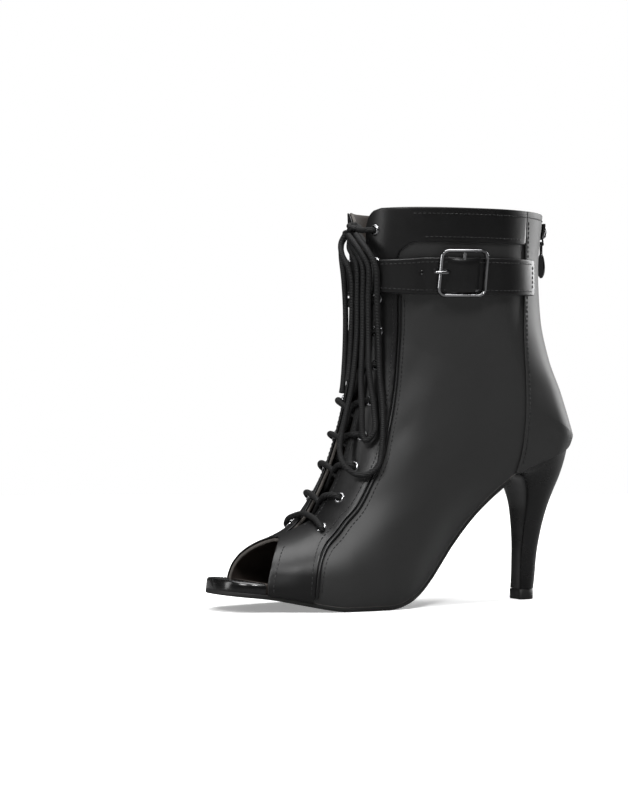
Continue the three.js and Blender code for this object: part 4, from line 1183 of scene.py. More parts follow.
def peep_cut(point: Array, u: Array, turn: Array) -> Array:
    """Keeps the leather behind the peep toe's edge.

    Args:
        point: The points.
        u: Their rows; not used.
        turn: Their turns; not used.

    Returns:
        How far each point lies inside the leather.
    """
    bridge = FORM.section(np.array([1.0]))["front"][0]
    heights = [up * bridge[2] for _, up in PEEP_EDGE[1:]]
    places = [PEEP_BASE + back * (bridge[0] - PEEP_BASE) for back, _ in PEEP_EDGE[1:]]
    edge = smooth_curve(heights, places)
    return np.where(point[:, 2] < bridge[2], point[:, 0] - edge(point[:, 2]), 5.0)


def inside_cut(outline: Array, side: Side | None = None, sign: float = 1.0) -> Field:
    """Keeps the leather inside an outline that is seen from the side.

    Args:
        outline: Corners of the outline.
        side: The side of the foot that the leather stays on, or both.
        sign: 1 to keep what is inside, -1 to keep what is outside.

    Returns:
        The cut.
    """

    def cut(point: Array, u: Array, turn: Array) -> Array:
        """Measures how far points lie inside the outline.

        Args:
            point: The points.
            u: Their rows; not used.
            turn: Their turns.

        Returns:
            The distances.
        """
        value = sign * outline_distance(point[:, [0, 2]], outline)
        if side is None:
            return value
        return np.minimum(value, turn * side.value * 60.0 - 0.005)

    return cut


def hole_cut(places: Array, radius: float) -> Field:
    """Keeps the leather outside round holes.

    Args:
        places: The holes' middles.
        radius: Their radius.

    Returns:
        The cut as a function.
    """

    def cut(point: Array, u: Array, turn: Array) -> Array:
        """Measures how far points lie outside the nearest hole.

        Args:
            point: The points.
            u: Their rows; not used.
            turn: Their turns; not used.

        Returns:
            The distances.
        """
        return np.min(np.linalg.norm(point[:, None] - places[None], axis=2), axis=1) - radius

    return cut


def eyelet_places(side: Side) -> tuple[Array, Array]:
    """Gives where the eyelets of one side sit, and the way outwards at each."""
    rows = np.array([u for u, _ in EYELET_ROWS])
    away = np.array([away for _, away in EYELET_ROWS]) * side.value
    return FORM.place(rows, FORM.at_width(rows, away))


def stitch_row(
    shape: Shape, line: Array, out: Array, pitch: float = 2.5, long: float = 1.75, radius: float = 0.26
) -> None:
    """Adds a row of stitches along a line on the leather.

    Args:
        shape: The shape that gets them.
        line: Points of the row.
        out: The way outwards at each.
        pitch: Distance from one stitch to the next.
        long: Length of a stitch.
        radius: Radius of the thread.
    """
    both = respaced(np.hstack([line, out]), 0.5) if len(line) < 4 else np.hstack([line, out])
    length = np.concatenate([[0], np.cumsum(np.linalg.norm(np.diff(both[:, :3], axis=0), axis=1))])
    for start in np.arange(pitch / 2, length[-1] - long, pitch):
        at = start + long * np.array([0, 0.18, 0.5, 0.82, 1.0])
        point = np.stack([np.interp(at, length, both[:, k]) for k in range(3)], axis=1)
        way = np.stack([np.interp(at, length, both[:, 3 + k]) for k in range(3)], axis=1)
        sunk = np.array([-0.9, 0.1, 0.55, 0.1, -0.9])[:, None] * radius
        shape.add_tube(point + unit(way) * sunk, radius, sides=6)


def opened(line: Array, low: float, high: float, axis: int = 1) -> Array:
    """Keeps the part of a line whose height lies between two heights."""
    return line[(line[:, axis] >= low) & (line[:, axis] <= high)]


@dataclass
class Upper:
    """The upper: vamp, quarters and lining as one hollow wall."""

    hole_radius: float = 2.5

    def build(self) -> None:
        """Makes the upper's leather with its lining and light edge."""
        holes = np.vstack([eyelet_places(side)[0] for side in Side])
        cuts = [throat_cut, peep_cut, hole_cut(holes, self.hole_radius)]
        panel = Panel(-WALL, 0.0, cuts, row_steps=190, turn_steps=150)
        shape = panel.shape()
        make_piece("upper_leather", shape, [BLACK_LEATHER, LINING, LINING_EDGE], ["upper"], sharp=60)


@dataclass
class Facings:
    """The overlays of both sides: eyestay with collar band, back panel and piping."""

    hole_radius: float = 2.4
    piping_radius: float = 0.95
    thread: Shape = field(default_factory=Shape)

    def eyestay_outline(self) -> Array:
        """Gives the outline of the eyestay with its collar band, seen from the side."""
        band_end = BACK_LINE[0, 0] - 0.2
        corner = np.array([[band_end, BAND_LOW], [-0.385 * SHOE_LENGTH, BAND_LOW]])
        air = np.array([[-220, EYESTAY_LINE[-1, 1]], [-220, 240], [band_end, 240]])
        return np.vstack([corner, EYESTAY_LINE, air])

    def back_outline(self) -> Array:
        """Gives the outline of the back panel, seen from the side."""
        return np.vstack([BACK_LINE, [[90, BACK_LINE[-1, 1]], [90, BACK_LINE[0, 1]]]])

    def zip_cut(self, point: Array, u: Array, turn: Array) -> Array:
        """Keeps the leather beside and below the zip."""
        beside = np.abs(point[:, 1]) - 3.5
        return np.maximum(np.maximum(beside, 99.7 - point[:, 2]), (0.6 - np.abs(turn)) * 50)

    def build(self) -> None:
        """Makes every overlay, with its stitches."""
        for side in Side:
            word = side.name.lower()
            holes = eyelet_places(side)[0]
            inside = inside_cut(self.eyestay_outline(), side)
            cuts = [throat_cut, peep_cut, inside, hole_cut(holes, self.hole_radius)]
            turns = (-1.0, 0.0) if side is Side.OUTER else (0.0, 1.0)
            fine = {"row_steps": 210, "turn_steps": 180, "roll": 0.35}
            eyestay = Panel(OVERLAY_LOW, OVERLAY_TOP, cuts, turns=turns, **fine).shape()
            make_piece(f"eyestay_leather_{word}", eyestay, [FACING_LEATHER], [f"eyestay_{word}"], sharp=70)
            back = Panel(
                OVERLAY_LOW,
                OVERLAY_TOP,
                [inside_cut(self.back_outline(), side), self.zip_cut],
                rows=(9.5, float(LAST_ROW)),
                row_steps=110,
                turns=turns,
                turn_steps=150,
                roll=0.35,
            )
            nodes = [f"back_panel_{word}"]
            make_piece(f"back_leather_{word}", back.shape(), [BLACK_LEATHER], nodes, sharp=70)
            self.add_piping(side)
            self.add_stitches(side)
        make_piece("facing_stitches", self.thread, [THREAD])

    def add_piping(self, side: Side) -> None:
        """Makes the piping along the eyestay's edge.

        Args:
            side: The boot's side.
        """
        below = opened(moved(EYESTAY_LINE, -1.25), 6.5, 167.0)
        line, _ = FORM.side_line(below, side, 0.75)
        shape = Shape()
        shape.add_tube(respaced(line, 1.6), self.piping_radius, sides=10)
        word = side.name.lower()
        make_piece(f"piping_leather_{word}", shape, [FACING_LEATHER], [f"piping_{word}"])

    def add_stitches(self, side: Side) -> None:
        """Adds the rows of stitches beside the seams, the throat, the collar and the peep toe.

        Args:
            side: The boot's side.
        """
        for distance in (1.7, -3.4):
            row = opened(moved(EYESTAY_LINE, distance), 8.0, 186.0 if distance > 0 else 165.0)
            stitch_row(self.thread, *FORM.side_line(row, side, OVERLAY_TOP if distance > 0 else 0.0))
        band = np.stack([np.linspace(-80, BACK_LINE[0, 0] - 3, 50), np.full(50, BAND_LOW + 2.2)], axis=1)
        stitch_row(self.thread, *FORM.side_line(band, side, OVERLAY_TOP))
        back = opened(moved(BACK_LINE, 1.8 if BACK_LINE[0, 1] < BACK_LINE[-1, 1] else -1.8), 74.0, 208.0)
        stitch_row(self.thread, *FORM.side_line(back, side, OVERLAY_TOP))
        self.add_throat_rows(side)

    def add_throat_rows(self, side: Side) -> None:
        """Adds the stitches along the throat's edge, the topline and the peep toe's edge.

        Args:
            side: The boot's side.
        """
        rows = np.linspace(2.3, 18.2, 190)
        gap = FORM.section(rows)["gap"] + 2.4
        turns = FORM.at_width(rows, gap * side.value)
        point, out = FORM.place(rows, turns)
        stitch_row(self.thread, point + out * OVERLAY_TOP, out)
        top = np.stack([np.linspace(-86, 8, 70), np.full(70, BOOT_HEIGHT - 3.0)], axis=1)
        stitch_row(self.thread, *FORM.side_line(top, side, OVERLAY_TOP))
        bridge = FORM.section(np.array([1.0]))["front"][0]
        reach = bridge[0] - PEEP_BASE
        places = [(PEEP_BASE + back * reach + 2.6, up * bridge[2] - 0.4) for back, up in PEEP_EDGE[:-1]]
        edge = spline(places, 1.0)
        edge = opened(edge, 9.0, 60.0)
        stitch_row(self.thread, *FORM.side_line(edge, side, OVERLAY_TOP))


@dataclass
class AnkleStrap:
    """The ankle strap in its two parts, with its edges and holes."""

    low: float = 1.5
    top: float = 3.2
    width: float = 18.5
    centre: float = 176.5
    taper: float = 1.4
    end: float = -0.049 * SHOE_LENGTH
    bar: float = -58.0
    hole_places: tuple[float, ...] = (-79.5, -67.0)

    def lift(self, turn: Array) -> Array:
        """Gives how far the strap stands off in front, over the eyelets."""
        share = np.clip((0.33 - np.abs(turn)) / 0.06, 0, 1)
        return 2.0 * share * share * (3 - 2 * share)

    def outline(self, start: float, end: float, inset: float = 0.0) -> Array:
        """Gives the strap's outline, seen from the side.

        Args:
            start: Its front end.
            end: Its back end.
            inset: How far it lies inside the edges.

        Returns:
            The outline's points.
        """
        xs = np.linspace(start, end, 60)
        front = -0.46 * SHOE_LENGTH
        half = self.width / 2 - inset - self.taper * np.clip(1 - (xs - front) / 22.0, 0, 1)
        lower = np.stack([xs, self.centre - half], axis=1)
        upper = np.stack([xs, self.centre + half], axis=1)
        return np.vstack([lower, upper[::-1]])

    def band(self, start: float, end: float) -> Field:
        """Keeps the strap between two places along the boot, on each side of its own.

        Args:
            start: The front place.
            end: The back place.

        Returns:
            The cut as a function.
        """

        def cut(point: Array, u: Array, turn: Array) -> Array:
            """Measures how far points lie inside the strap.

            Args:
                point: The points.
                u: Their rows; not used.
                turn: Their turns.

            Returns:
                The distances.
            """
            outer = outline_distance(point[:, [0, 2]], self.outline(start if start > -100 else -125.0, end))
            inner = outline_distance(point[:, [0, 2]], self.outline(-125.0, self.end))
            return np.where(turn < 0, outer, inner) if start < -100 else np.where(turn < 0, outer, -5.0)

        return cut

    def build(self) -> None:
        """Makes the strap with its stitches and holes."""
        around = {"rows": (14.5, 18.9), "row_steps": 90, "turn_steps": 190, "roll": 0.5, "lift": self.lift}
        holes = self.holes()
        cuts = [self.band(-125.0, self.bar - 0.9), hole_cut(holes, 1.05)]
        front = Panel(self.low, self.top, cuts, **around)
        make_piece("strap_leather_front", front.shape(), [STRAP_LEATHER], ["strap_front"], sharp=70)
        rear = Panel(self.low, self.top, [self.band(self.bar + 0.9, self.end)], **around)
        make_piece("strap_leather_rear", rear.shape(), [STRAP_LEATHER], ["strap_rear"], sharp=70)
        thread = Shape()
        for side in Side:
            for sign in (-1, 1):
                xs = np.linspace(-96, self.end - 2, 140)
                front_x = -0.46 * SHOE_LENGTH
                half = self.width / 2 - 1.9 - self.taper * np.clip(1 - (xs - front_x) / 22.0, 0, 1)
                row = np.stack([xs, self.centre + sign * half], axis=1)
                u, t = FORM.locate(row[:, 0], row[:, 1], side)
                point, out = FORM.place(u, t)
                stitch_row(thread, point + out * (self.top + self.lift(t))[:, None], out)
        heights = np.linspace(self.centre - 7, self.centre + 7, 12)
        ends = np.stack([np.full(12, self.end - 2.2), heights], axis=1)
        for side in Side:
            stitch_row(thread, *FORM.side_line(ends, side, self.top))
        make_piece("strap_stitches", thread, [THREAD])
        self.build_turn()
        rims = Shape()
        for place, out in zip(*self.hole_frames()):
            rim = [(0.85, -0.9), (1.15, -0.9), (1.15, 0.05), (1.0, 0.16), (0.85, 0.05)]
            rims.add_turned(rim, place, out, 18)
        make_piece("strap_hole_rims", rims, [STRAP_LEATHER])

    def build_turn(self) -> None:
        """Makes the strap's turn over the buckle's bar, which swells inside the buckle."""
        profile = [(-9.4, 3.0), (-8.0, 3.6), (-5.4, 4.4), (-2.6, 5.0), (0, 5.25), (2.6, 5.15)]
        profile += [(5.4, 4.7), (8.2, 3.8), (9.8, 3.0), (4.0, 2.6), (-3.6, 2.6)]
        rings = []
        half = self.width / 2 + 0.9
        for z in np.linspace(self.centre - half, self.centre + half, 26):
            edge = 1 - ((z - self.centre) / half) ** 8
            rings.append([self.beside(self.bar + x, z, 2.6 + (height - 2.6) * edge) for x, height in profile])
        shape = Shape()
        shape.add_rings(np.array(rings))
        make_piece("strap_leather_turn", shape, [STRAP_LEATHER], sharp=60)

    def beside(self, x: float, z: float, height: float) -> Array:
        """Gives a point at a height above the boot's outer face."""
        return FORM.side_line(np.array([[x, z]]), Side.OUTER, height)[0][0]

    def hole_frames(self) -> tuple[Array, Array]:
        """Gives the holes' places on the strap's outer face and the way outwards."""
        height = np.full(len(self.hole_places), self.centre + 1.9)
        line = np.stack([np.array(self.hole_places), height], axis=1)
        u, t = FORM.locate(line[:, 0], line[:, 1], Side.OUTER)
        point, out = FORM.place(u, t)
        return point + out * (self.top + self.lift(t))[:, None], out

    def holes(self) -> Array:
        """Gives the holes' places on the boot's face."""
        height = np.full(len(self.hole_places), self.centre + 1.9)
        line = np.stack([np.array(self.hole_places), height], axis=1)
        return FORM.place(*FORM.locate(line[:, 0], line[:, 1], Side.OUTER))[0]


@dataclass
class Buckle:
    """The strap's buckle: frame, bar and prong."""

    x: float = -58.0
    z: float = 178.2
    long: float = 27.0
    high: float = 25.6
    wire: float = 2.1
    corner: float = 4.5
    low: float = 3.5
    prong: float = 1.9

    def on_strap(self, x: float, z: float, height: float) -> Array:
        """Gives a point at a height above the boot's outer face."""
        return FORM.side_line(np.array([[x, z]]), Side.OUTER, height)[0][0]

    def build(self) -> None:
        """Makes the frame with its bar, and the prong."""
        half_x, half_z = (self.long - self.wire) / 2, (self.high - self.wire) / 2
        corner = self.corner - self.wire / 2
        line = []
        for quarter, (sx, sz) in enumerate([(1, 1), (-1, 1), (-1, -1), (1, -1)]):
            for k in range(9):
                angle = math.pi / 2 * (quarter + k / 8)
                x = self.x + sx * (half_x - corner) + corner * math.cos(angle)
                z = self.z + sz * (half_z - corner) + corner * math.sin(angle)
                line.append((x, z))
        ring = respaced(np.array(line + line[:1]), 0.9)[:-1]
        u, t = FORM.locate(ring[:, 0], ring[:, 1], Side.OUTER)
        point, out = FORM.place(u, t)
        lift = STRAP.lift(t)
        frame = Shape()
        self.add_bar(frame, point + out * (self.low + self.wire / 2 + lift)[:, None], out, closed=True)
        zs = np.linspace(self.z - half_z, self.z + half_z, 24)
        bar_points, _ = FORM.side_line(np.stack([np.full(24, self.x), zs], axis=1), Side.OUTER, 3.4)
        frame.add_tube(bar_points, 0.95, sides=14)
        make_piece("buckle_metal_frame", frame, [GUNMETAL], ["buckle_frame"])
        self.build_prong()

    def add_bar(self, shape: Shape, line: Array, out: Array, closed: bool) -> None:
        """Adds a bar with a flat back and a crowned front along a closed line.

        Args:
            shape: The shape that gets the bar.
            line: The bar's middle line.
            out: The way outwards along it.
            closed: Whether its ends meet.
        """
        way = unit(np.roll(line, -1, axis=0) - np.roll(line, 1, axis=0))
        side = unit(np.cross(way, out))
        half = self.wire / 2
        profile = [(-1, -1), (1, -1), (1.04, -0.2), (0.86, 0.55), (0.45, 0.94)]
        profile += [(-0.45, 0.94), (-0.86, 0.55), (-1.04, -0.2)]
        rings = np.stack([line + side * (a * half) + out * (b * half) for a, b in profile], axis=1)
        shape.add_rings(rings, closed=closed)

    def build_prong(self) -> None:
        """Makes the prong's end, over the buckle's front side."""
        front = self.x - self.long / 2
        rest = self.low + self.wire + 0.25 + self.prong / 2
        rows = [(5.9, 3.2), (5.2, 4.3), (4.0, rest - 0.5), (2, rest), (0.2, rest)]
        rows += [(-1.4, rest - 0.25), (-2.4, rest - 0.8)]
        points = [self.on_strap(front + back, self.z + 0.6, height) for back, height in rows]
        line = spline(points, 0.4)
        radius = self.prong / 2 * np.interp(np.linspace(0, 1, len(line)), [0, 0.85, 1], [1, 1, 0.62])
        shape = Shape()
        shape.add_tube(line, radius, sides=14)
        make_piece("buckle_metal_prong", shape, [GUNMETAL], ["buckle_prong"])


@dataclass
class Zip:
    """The back zip: its tapes and teeth, its slider and its pull tab."""

    width: float = 6.4
    foot: float = 100.0
    top: float = 210.5
    slider_top: float = 208.4
    slider_length: float = 8.8
    tooth: float = 1.25

    def face(self, z: float) -> float:
        """Gives where the zip's outer face lies at a height, in the middle of the back."""
        rows = np.linspace(HEEL_ROW, LAST_ROW, 400)
        back = FORM.section(rows)["back"]
        return float(np.interp(z, back[:, 2], back[:, 0])) + OVERLAY_TOP

    def build(self) -> None:
        """Makes the zip's pieces."""
        shape = Shape()
        tape = Panel(
            OVERLAY_LOW,
            OVERLAY_LOW + 0.5,
            [self.tape_cut],
            rows=(11.0, float(LAST_ROW)),
            row_steps=120,
            turn_steps=420,
            roll=0.1,
        ).shape()
        shape.add(np.vstack(tape.points), tape.faces)
        for n, z in enumerate(np.arange(self.foot + 1.5, self.slider_top - 2.0, self.tooth)):
            self.add_tooth(shape, z, 1 if n % 2 else -1)
        make_piece("zip_chain", shape, [ZIP_CLOTH, TEETH], ["zip_tape"], sharp=50)
        stop = Shape()
        x = self.face(self.foot + 2)
        rise = [(-0.3, 0), (0.15, 0.6), (0.15, 3.0), (-0.3, 3.6)]
        stop.add_tube(np.array([[x + dx, 0, self.foot + dz] for dx, dz in rise]), 1.15, 12)
        make_piece("zip_stop", stop, [GUNMETAL])
        self.build_slider()
        self.build_pull()

    def tape_cut(self, point: Array, u: Array, turn: Array) -> Array:
        """Keeps the zip's column up the middle of the back."""
        height = np.minimum(point[:, 2] - self.foot, self.top - point[:, 2])
        inside = np.minimum(self.width / 2 - np.abs(point[:, 1]), height)
        return np.where(np.abs(turn) > 0.6, inside, -5.0)

    def add_tooth(self, shape: Shape, z: float, side: int) -> None:
        """Adds one coil tooth.

        Args:
            shape: The shape that gets the tooth.
            z: Its height.
            side: 1 or -1 for its side of the chain.
        """
        x = self.face(z) - 0.35
        places = [(0, side * 1.7), (0.28, side * 1.2), (0.34, 0), (0.05, -side * 0.55)]
        line = np.array([[x + dx, y, z] for dx, y in places])
        shape.add_tube(line, [0.34, 0.42, 0.42, 0.3], sides=6, mark=1)

    def build_slider(self) -> None:
        """Makes the slider with its two lugs and their pin."""
        foot = self.slider_top - self.slider_length
        rings = []
        for share in np.linspace(0, 1, 13):
            z = foot + share * self.slider_length
            swell = math.sin(math.pi * min(share, 0.75) / 0.75 * 0.5)
            half = 1.9 + 0.7 * swell * (1 if share > 0.15 else 0.7)
            thick = 2.2 * (0.78 + 0.22 * math.sin(math.pi * share))
            x = self.face(z) + 0.75
            angle = np.linspace(0, 2 * math.pi, 20, endpoint=False)
            cosine, sine = np.cos(angle), np.sin(angle)
            ys = half * np.sign(cosine) * np.abs(cosine) ** 0.5
            xs = x + thick / 2 + thick / 2 * np.sign(sine) * np.abs(sine) ** 0.5
            rings.append(np.stack([xs, ys, np.full(20, z)], axis=1))
        shape = Shape()
        shape.add_rings(np.array(rings))
        pin = self.pin()
        places = ((1.7, foot + 1.0), (3.0, foot + 2.2), (3.1, foot + 5.2), (1.7, foot + 7.6))
        crown = [(self.face(z) + 0.75 + dx, z) for dx, z in places]
        shape.add_tube(spline([(x, 0, z) for x, z in crown], 0.4), 0.85, sides=12)
        for side in (-1, 1):
            places = [(pin[0] - 0.1, foot + 0.7), (pin[0] - 0.05, foot - 0.9), (pin[0], pin[2] - 0.5)]
            lug = [(x, side * 1.9, z) for x, z in places]
            shape.add_tube(spline(lug, 0.3), 0.52, sides=10)
        shape.add_tube(np.array([[pin[0], -2.3, pin[2]], [pin[0], 2.3, pin[2]]]), 0.5, sides=14)
        make_piece("zip_metal_slider", shape, [GUNMETAL], ["zip_slider"])

    def pin(self) -> Array:
        """Gives the middle of the pin that the pull tab hangs from."""
        z = self.slider_top - self.slider_length - 2.4
        return np.array([self.face(z) + 0.45 + CLEARANCE + 1.3, 0, z])

    def build_pull(self) -> None:
        """Makes the pull tab: a drop-shaped plate with a knuckle."""
        pin = self.pin()
        down = np.linspace(0.02, 1, 28)
        shares = [0, 0.27, 0.36, 0.50, 0.68, 0.82, 0.93, 1]
        widths = [0.138, 0.138, 0.27, 0.42, 0.50, 0.47, 0.33, 0.12]
        halves = smooth_curve(shares, widths)(down) * 7.6
        rings = []
        for share, half in zip(down, halves):
            angle = np.linspace(0, 2 * math.pi, 20, endpoint=False)
            thick = 0.5 * (1.0 if share < 0.95 else 0.7)
            cosine, sine = np.cos(angle), np.sin(angle)
            ys = half * np.sign(cosine) * np.abs(cosine) ** 0.35
            dish = -0.16 * np.exp(-((ys / max(half, 0.1)) ** 4) * 3) * (1 if 0.4 < share < 0.95 else 0)
            xs = pin[0] + np.sign(sine) * np.abs(sine) ** 0.35 * (thick + dish)
            rings.append(np.stack([xs, ys, np.full(20, pin[2] - share * 19.0)], axis=1))
        shape = Shape()
        shape.add_rings(np.array(rings))
        knuckle = [(0.62, -1.0), (1.25, -1.0), (1.25, 1.0), (0.62, 1.0)]
        shape.add_turned(knuckle, pin, np.array([0, 1.0, 0]), 24)
        make_piece("zip_metal_pull", shape, [GUNMETAL], ["zip_pull"], body="zip_pull")


@dataclass
class Eyelets:
    """The metal eyelets of both sides."""

    inner: float = 1.85
    outer: float = 3.2

    def build(self) -> None:
        """Makes all eyelets as one piece, with their barrels through the leather."""
        shape = Shape()
        nodes = []
        for side in Side:
            for n, (place, out) in enumerate(zip(*eyelet_places(side))):
                base = OVERLAY_TOP - 0.05
                bore, rim, under = self.inner, self.outer, -WALL - 0.2
                profile = [(bore - 0.05, under), (bore + 0.3, under), (bore + 0.35, base), (rim, base)]
                profile += [(rim - 0.05, base + 0.35), (rim - 0.45, base + 0.78), (rim - 0.95, base + 0.86)]
                profile += [(bore + 0.1, base + 0.55), (bore - 0.05, base)]
                shape.add_turned(profile, place, out, 26)
                nodes.append(f"eyelet_{side.name.lower()}_{n + 1}")
        make_piece("eyelet_rings", shape, [SILVER], nodes, sharp=50)


@dataclass
class Lacing:
    """The lace through the eyelets, below the bow."""

    radius: float = 1.55
    under: float = -(WALL + 0.9 + 1.55)
    over: float = OVERLAY_TOP + 0.1 + 1.55
    ring: float = OVERLAY_TOP + 0.95 + 1.55

    def strand(self, index: int, side: int, outside: bool) -> Array:
        """Gives one strand's line, from the lower eyelet opposite to the upper eyelet.

        Args:
            index: Number of the upper row.
            side: Side of the upper eyelet.
            outside: True where the strand goes into the upper eyelet from outside.

        Returns:
            Points along the strand.
        """
        (top_u, top_away), (low_u, low_away) = EYELET_ROWS[index], EYELET_ROWS[index + 1]
        middle = (top_u + low_u) / 2
        top_edge = float(FORM.section(np.array([top_u]))["gap"][0])
        low_edge = float(FORM.section(np.array([low_u]))["gap"][0])
        sway = 0.1 * side

        def at(y: float, height: float) -> Array:
            """Gives a point of the strand at a distance from the middle."""
            top = y * side > 0
            u, away = (top_u, top_away) if top else (low_u, low_away)
            return FORM.above(middle + sway + (u - middle - sway) * min(abs(y) / away, 1.0), y, height)

        places = [(low_away, self.under + 1.0), (low_edge + 3, self.under), (low_edge, self.under)]
        tail = [at(-side * far, up) for far, up in places]
        mean_height = (self.over + self.under) / 2 if outside else self.under
        centre = at(0, mean_height + 0.9 * side)
        if not outside:
            head = [at(side * (top_edge + 3), self.under), at(side * top_away, self.under + 1.0)]
            return spline(tail + [centre] + head, 0.8)
        head = [
            at(side * top_edge, self.over + 0.15),
            at(side * (top_edge + 3), self.ring),
            at(side * (top_away - 0.4), self.ring - 0.1),
            at(side * (top_away + 0.9), self.ring - 1.5),
            at(side * (top_away + 0.3), 0.0),
            at(side * top_away, self.under + 1.2),
        ]
        return spline(tail + [centre] + head, 0.8)

    def build(self) -> None:
        """Makes the bar and the crossings."""
        for row in range(len(EYELET_ROWS) - 1):
            shape = Shape()
            for side in (-1, 1):
                shape.add_tube(self.strand(row, side, row > 1), self.radius, sides=14)
            make_piece(f"lace_strands_{row + 1}", shape, [LACE], [f"lace_cross_{row + 1}"])
        u, away = EYELET_ROWS[-1]
        shares = [-1, -1.06, -1.12, -0.9, -0.6, 0, 0.6, 0.9, 1.12, 1.06, 1]
        heights = [self.under + 1.2, 0.0, self.ring - 1.6, self.ring, self.ring - 0.4, self.over + 0.3]
        heights += heights[-2::-1]
        line = [FORM.above(u, share * away, height) for share, height in zip(shares, heights)]
        shape = Shape()
        shape.add_tube(spline(line, 0.8), self.radius, sides=14)
        make_piece("lace_lowest_bar", shape, [LACE], ["lace_bar"])


HANGING = {
    "loop_outer": [
        (0.925, 0.14, 1.75),
        (0.903, -0.12, 2.45),
        (0.884, -0.38, 2.52),
        (0.860, -0.56, 2.52),
        (0.772, -0.53, 2.52),
        (0.669, -0.53, 2.52),
        (0.549, -0.56, 2.52),
        (0.483, -0.60, 2.62),
        (0.423, -0.64, 2.66),
        (0.379, -0.78, 2.68),
        (0.345, -1.08, 2.68),
        (0.327, -1.40, 1.80),
        (0.329, -1.66, 1.55),
        (0.350, -1.77, 1.52),
        (0.391, -1.71, 1.52),
        (0.440, -1.59, 1.52),
        (0.503, -1.40, 1.55),
        (0.579, -1.18, 1.70),
        (0.668, -1.05, 2.00),
        (0.772, -1.05, 2.35),
        (0.855, -1.16, 2.55),
        (0.893, -1.02, 2.60),
        (0.920, -0.72, 2.35),
        (0.937, -0.43, 2.12),
    ],
    "loop_inner": [
        (0.928, -0.08, 2.30),
        (0.908, -0.35, 2.60),
        (0.885, -0.66, 2.65),
        (0.858, -0.80, 2.60),
        (0.772, -0.72, 2.52),
        (0.668, -0.72, 2.52),
        (0.610, -0.78, 2.74),
        (0.563, -0.84, 2.74),
        (0.487, -1.05, 2.50),
        (0.433, -1.20, 1.95),
        (0.412, -1.33, 1.82),
        (0.433, -1.46, 1.80),
        (0.488, -1.29, 1.94),
        (0.564, -1.04, 2.45),
        (0.608, -0.95, 2.68),
        (0.668, -0.87, 2.55),
        (0.772, -0.87, 2.60),
        (0.858, -0.98, 2.65),
        (0.888, -0.84, 2.80),
        (0.915, -0.58, 2.95),
        (0.936, -0.24, 3.00),
    ],
    "end_outer": [
        (0.940, 0.06, 2.78),
        (0.918, 0.14, 3.40),
        (0.887, -0.02, 3.60),
        (0.858, -0.24, 3.10),
        (0.825, -0.31, 2.65),
        (0.772, -0.31, 2.58),
        (0.669, -0.30, 2.58),
        (0.590, -0.33, 2.58),
        (0.560, -0.35, 2.58),
    ],
    "end_inner": [
        (0.937, 0.36, 1.95),
        (0.918, 0.52, 2.35),
        (0.890, 0.46, 2.55),
        (0.825, 0.24, 2.58),
        (0.748, 0.12, 2.58),
        (0.644, 0.05, 2.58),
        (0.549, -0.13, 2.58),
        (0.530, -0.16, 2.58),
    ],
}


@dataclass
class Bow:
    """The lace's knot, its two loops and its two hanging ends."""

    diameter: float = 3.1
    knot: tuple[float, float, float] = (-0.477 * SHOE_LENGTH, 0.0, BOOT_HEIGHT - 9.3)

    def line(self, rows: Sequence[tuple[float, float, float]]) -> Array:
        """Gives a hanging part's line.

        Args:
            rows: Its height, its distance from the middle and its height above the face.

        Returns:
            The line's points in millimetres.
        """
        points = []
        for up, away, over in rows:
            y = away * THROAT_WIDTH
            points.append(FORM.above(FORM.at_height(up * BOOT_HEIGHT, y), y, over * self.diameter))
        return spline(points, 1.5)

    def hang(self, name: str) -> bpy.types.Object:
        """Args:
            name: Its name in the table.

        Returns:
            The curve object.
        """
        line = self.line(HANGING[name]) * MM
        curve = bpy.data.curves.new(f"lace_{name}_cord", "CURVE")
        curve.dimensions = "3D"
        curve.bevel_depth = self.diameter / 2 * MM
        curve.bevel_resolution = 4
        curve.use_fill_caps = True
        run = curve.splines.new("POLY")
        run.points.add(len(line) - 1)
        for point, place in zip(run.points, line):
            point.co = (*place, 1)
        curve.materials.append(LACE.material())
        piece = bpy.data.objects.new(curve.name, curve)
        bpy.context.scene.collection.objects.link(piece)
        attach(piece, "boot")
        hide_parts(f"lace_{name}")
        return piece

    def build(self) -> None:
        """Makes the knot and everything that hangs from it."""
        centre = np.array(self.knot)
        shape = Shape()
        angle = np.linspace(0, 2 * np.pi, 34, endpoint=False)
        for tilt, size, push in ((0.35, 3.1, 0.6), (-0.25, 2.9, -0.9)):
            x, y = np.cos(angle) * size * 0.9, np.sin(angle) * size
            around = np.stack([x, y, np.sin(angle) * size * tilt + push], axis=1)
            shape.add_tube(centre + around, self.diameter / 2 * 0.96, sides=12, closed=True)
        core = np.array([[0, 0, -3.2], [0, 0, -1.5], [0, 0, 1.5], [0, 0, 3.0]])
        shape.add_tube(centre + core, [1.4, 2.4, 2.4, 1.2], sides=12)
        u, away = EYELET_ROWS[0]
        edge = float(FORM.section(np.array([u]))["gap"][0])
        lacing = Lacing()
        for side in (-1, 1):
            arm = [
                FORM.above(u, side * away, lacing.under + 1.5),
                FORM.above(u, side * away, 0.0),
                FORM.above(u, side * (away - 0.8), lacing.ring - 0.9),
                FORM.above(u, side * (away - 3.2), lacing.ring + 0.1),
                FORM.above(u, side * edge, lacing.ring),
                centre,
            ]
            shape.add_tube(spline(arm, 0.8), self.diameter / 2, sides=12)
        make_piece("lace_bow_knot", shape, [LACE], ["lace_knot"])
        for name in HANGING:
            self.hang(name)


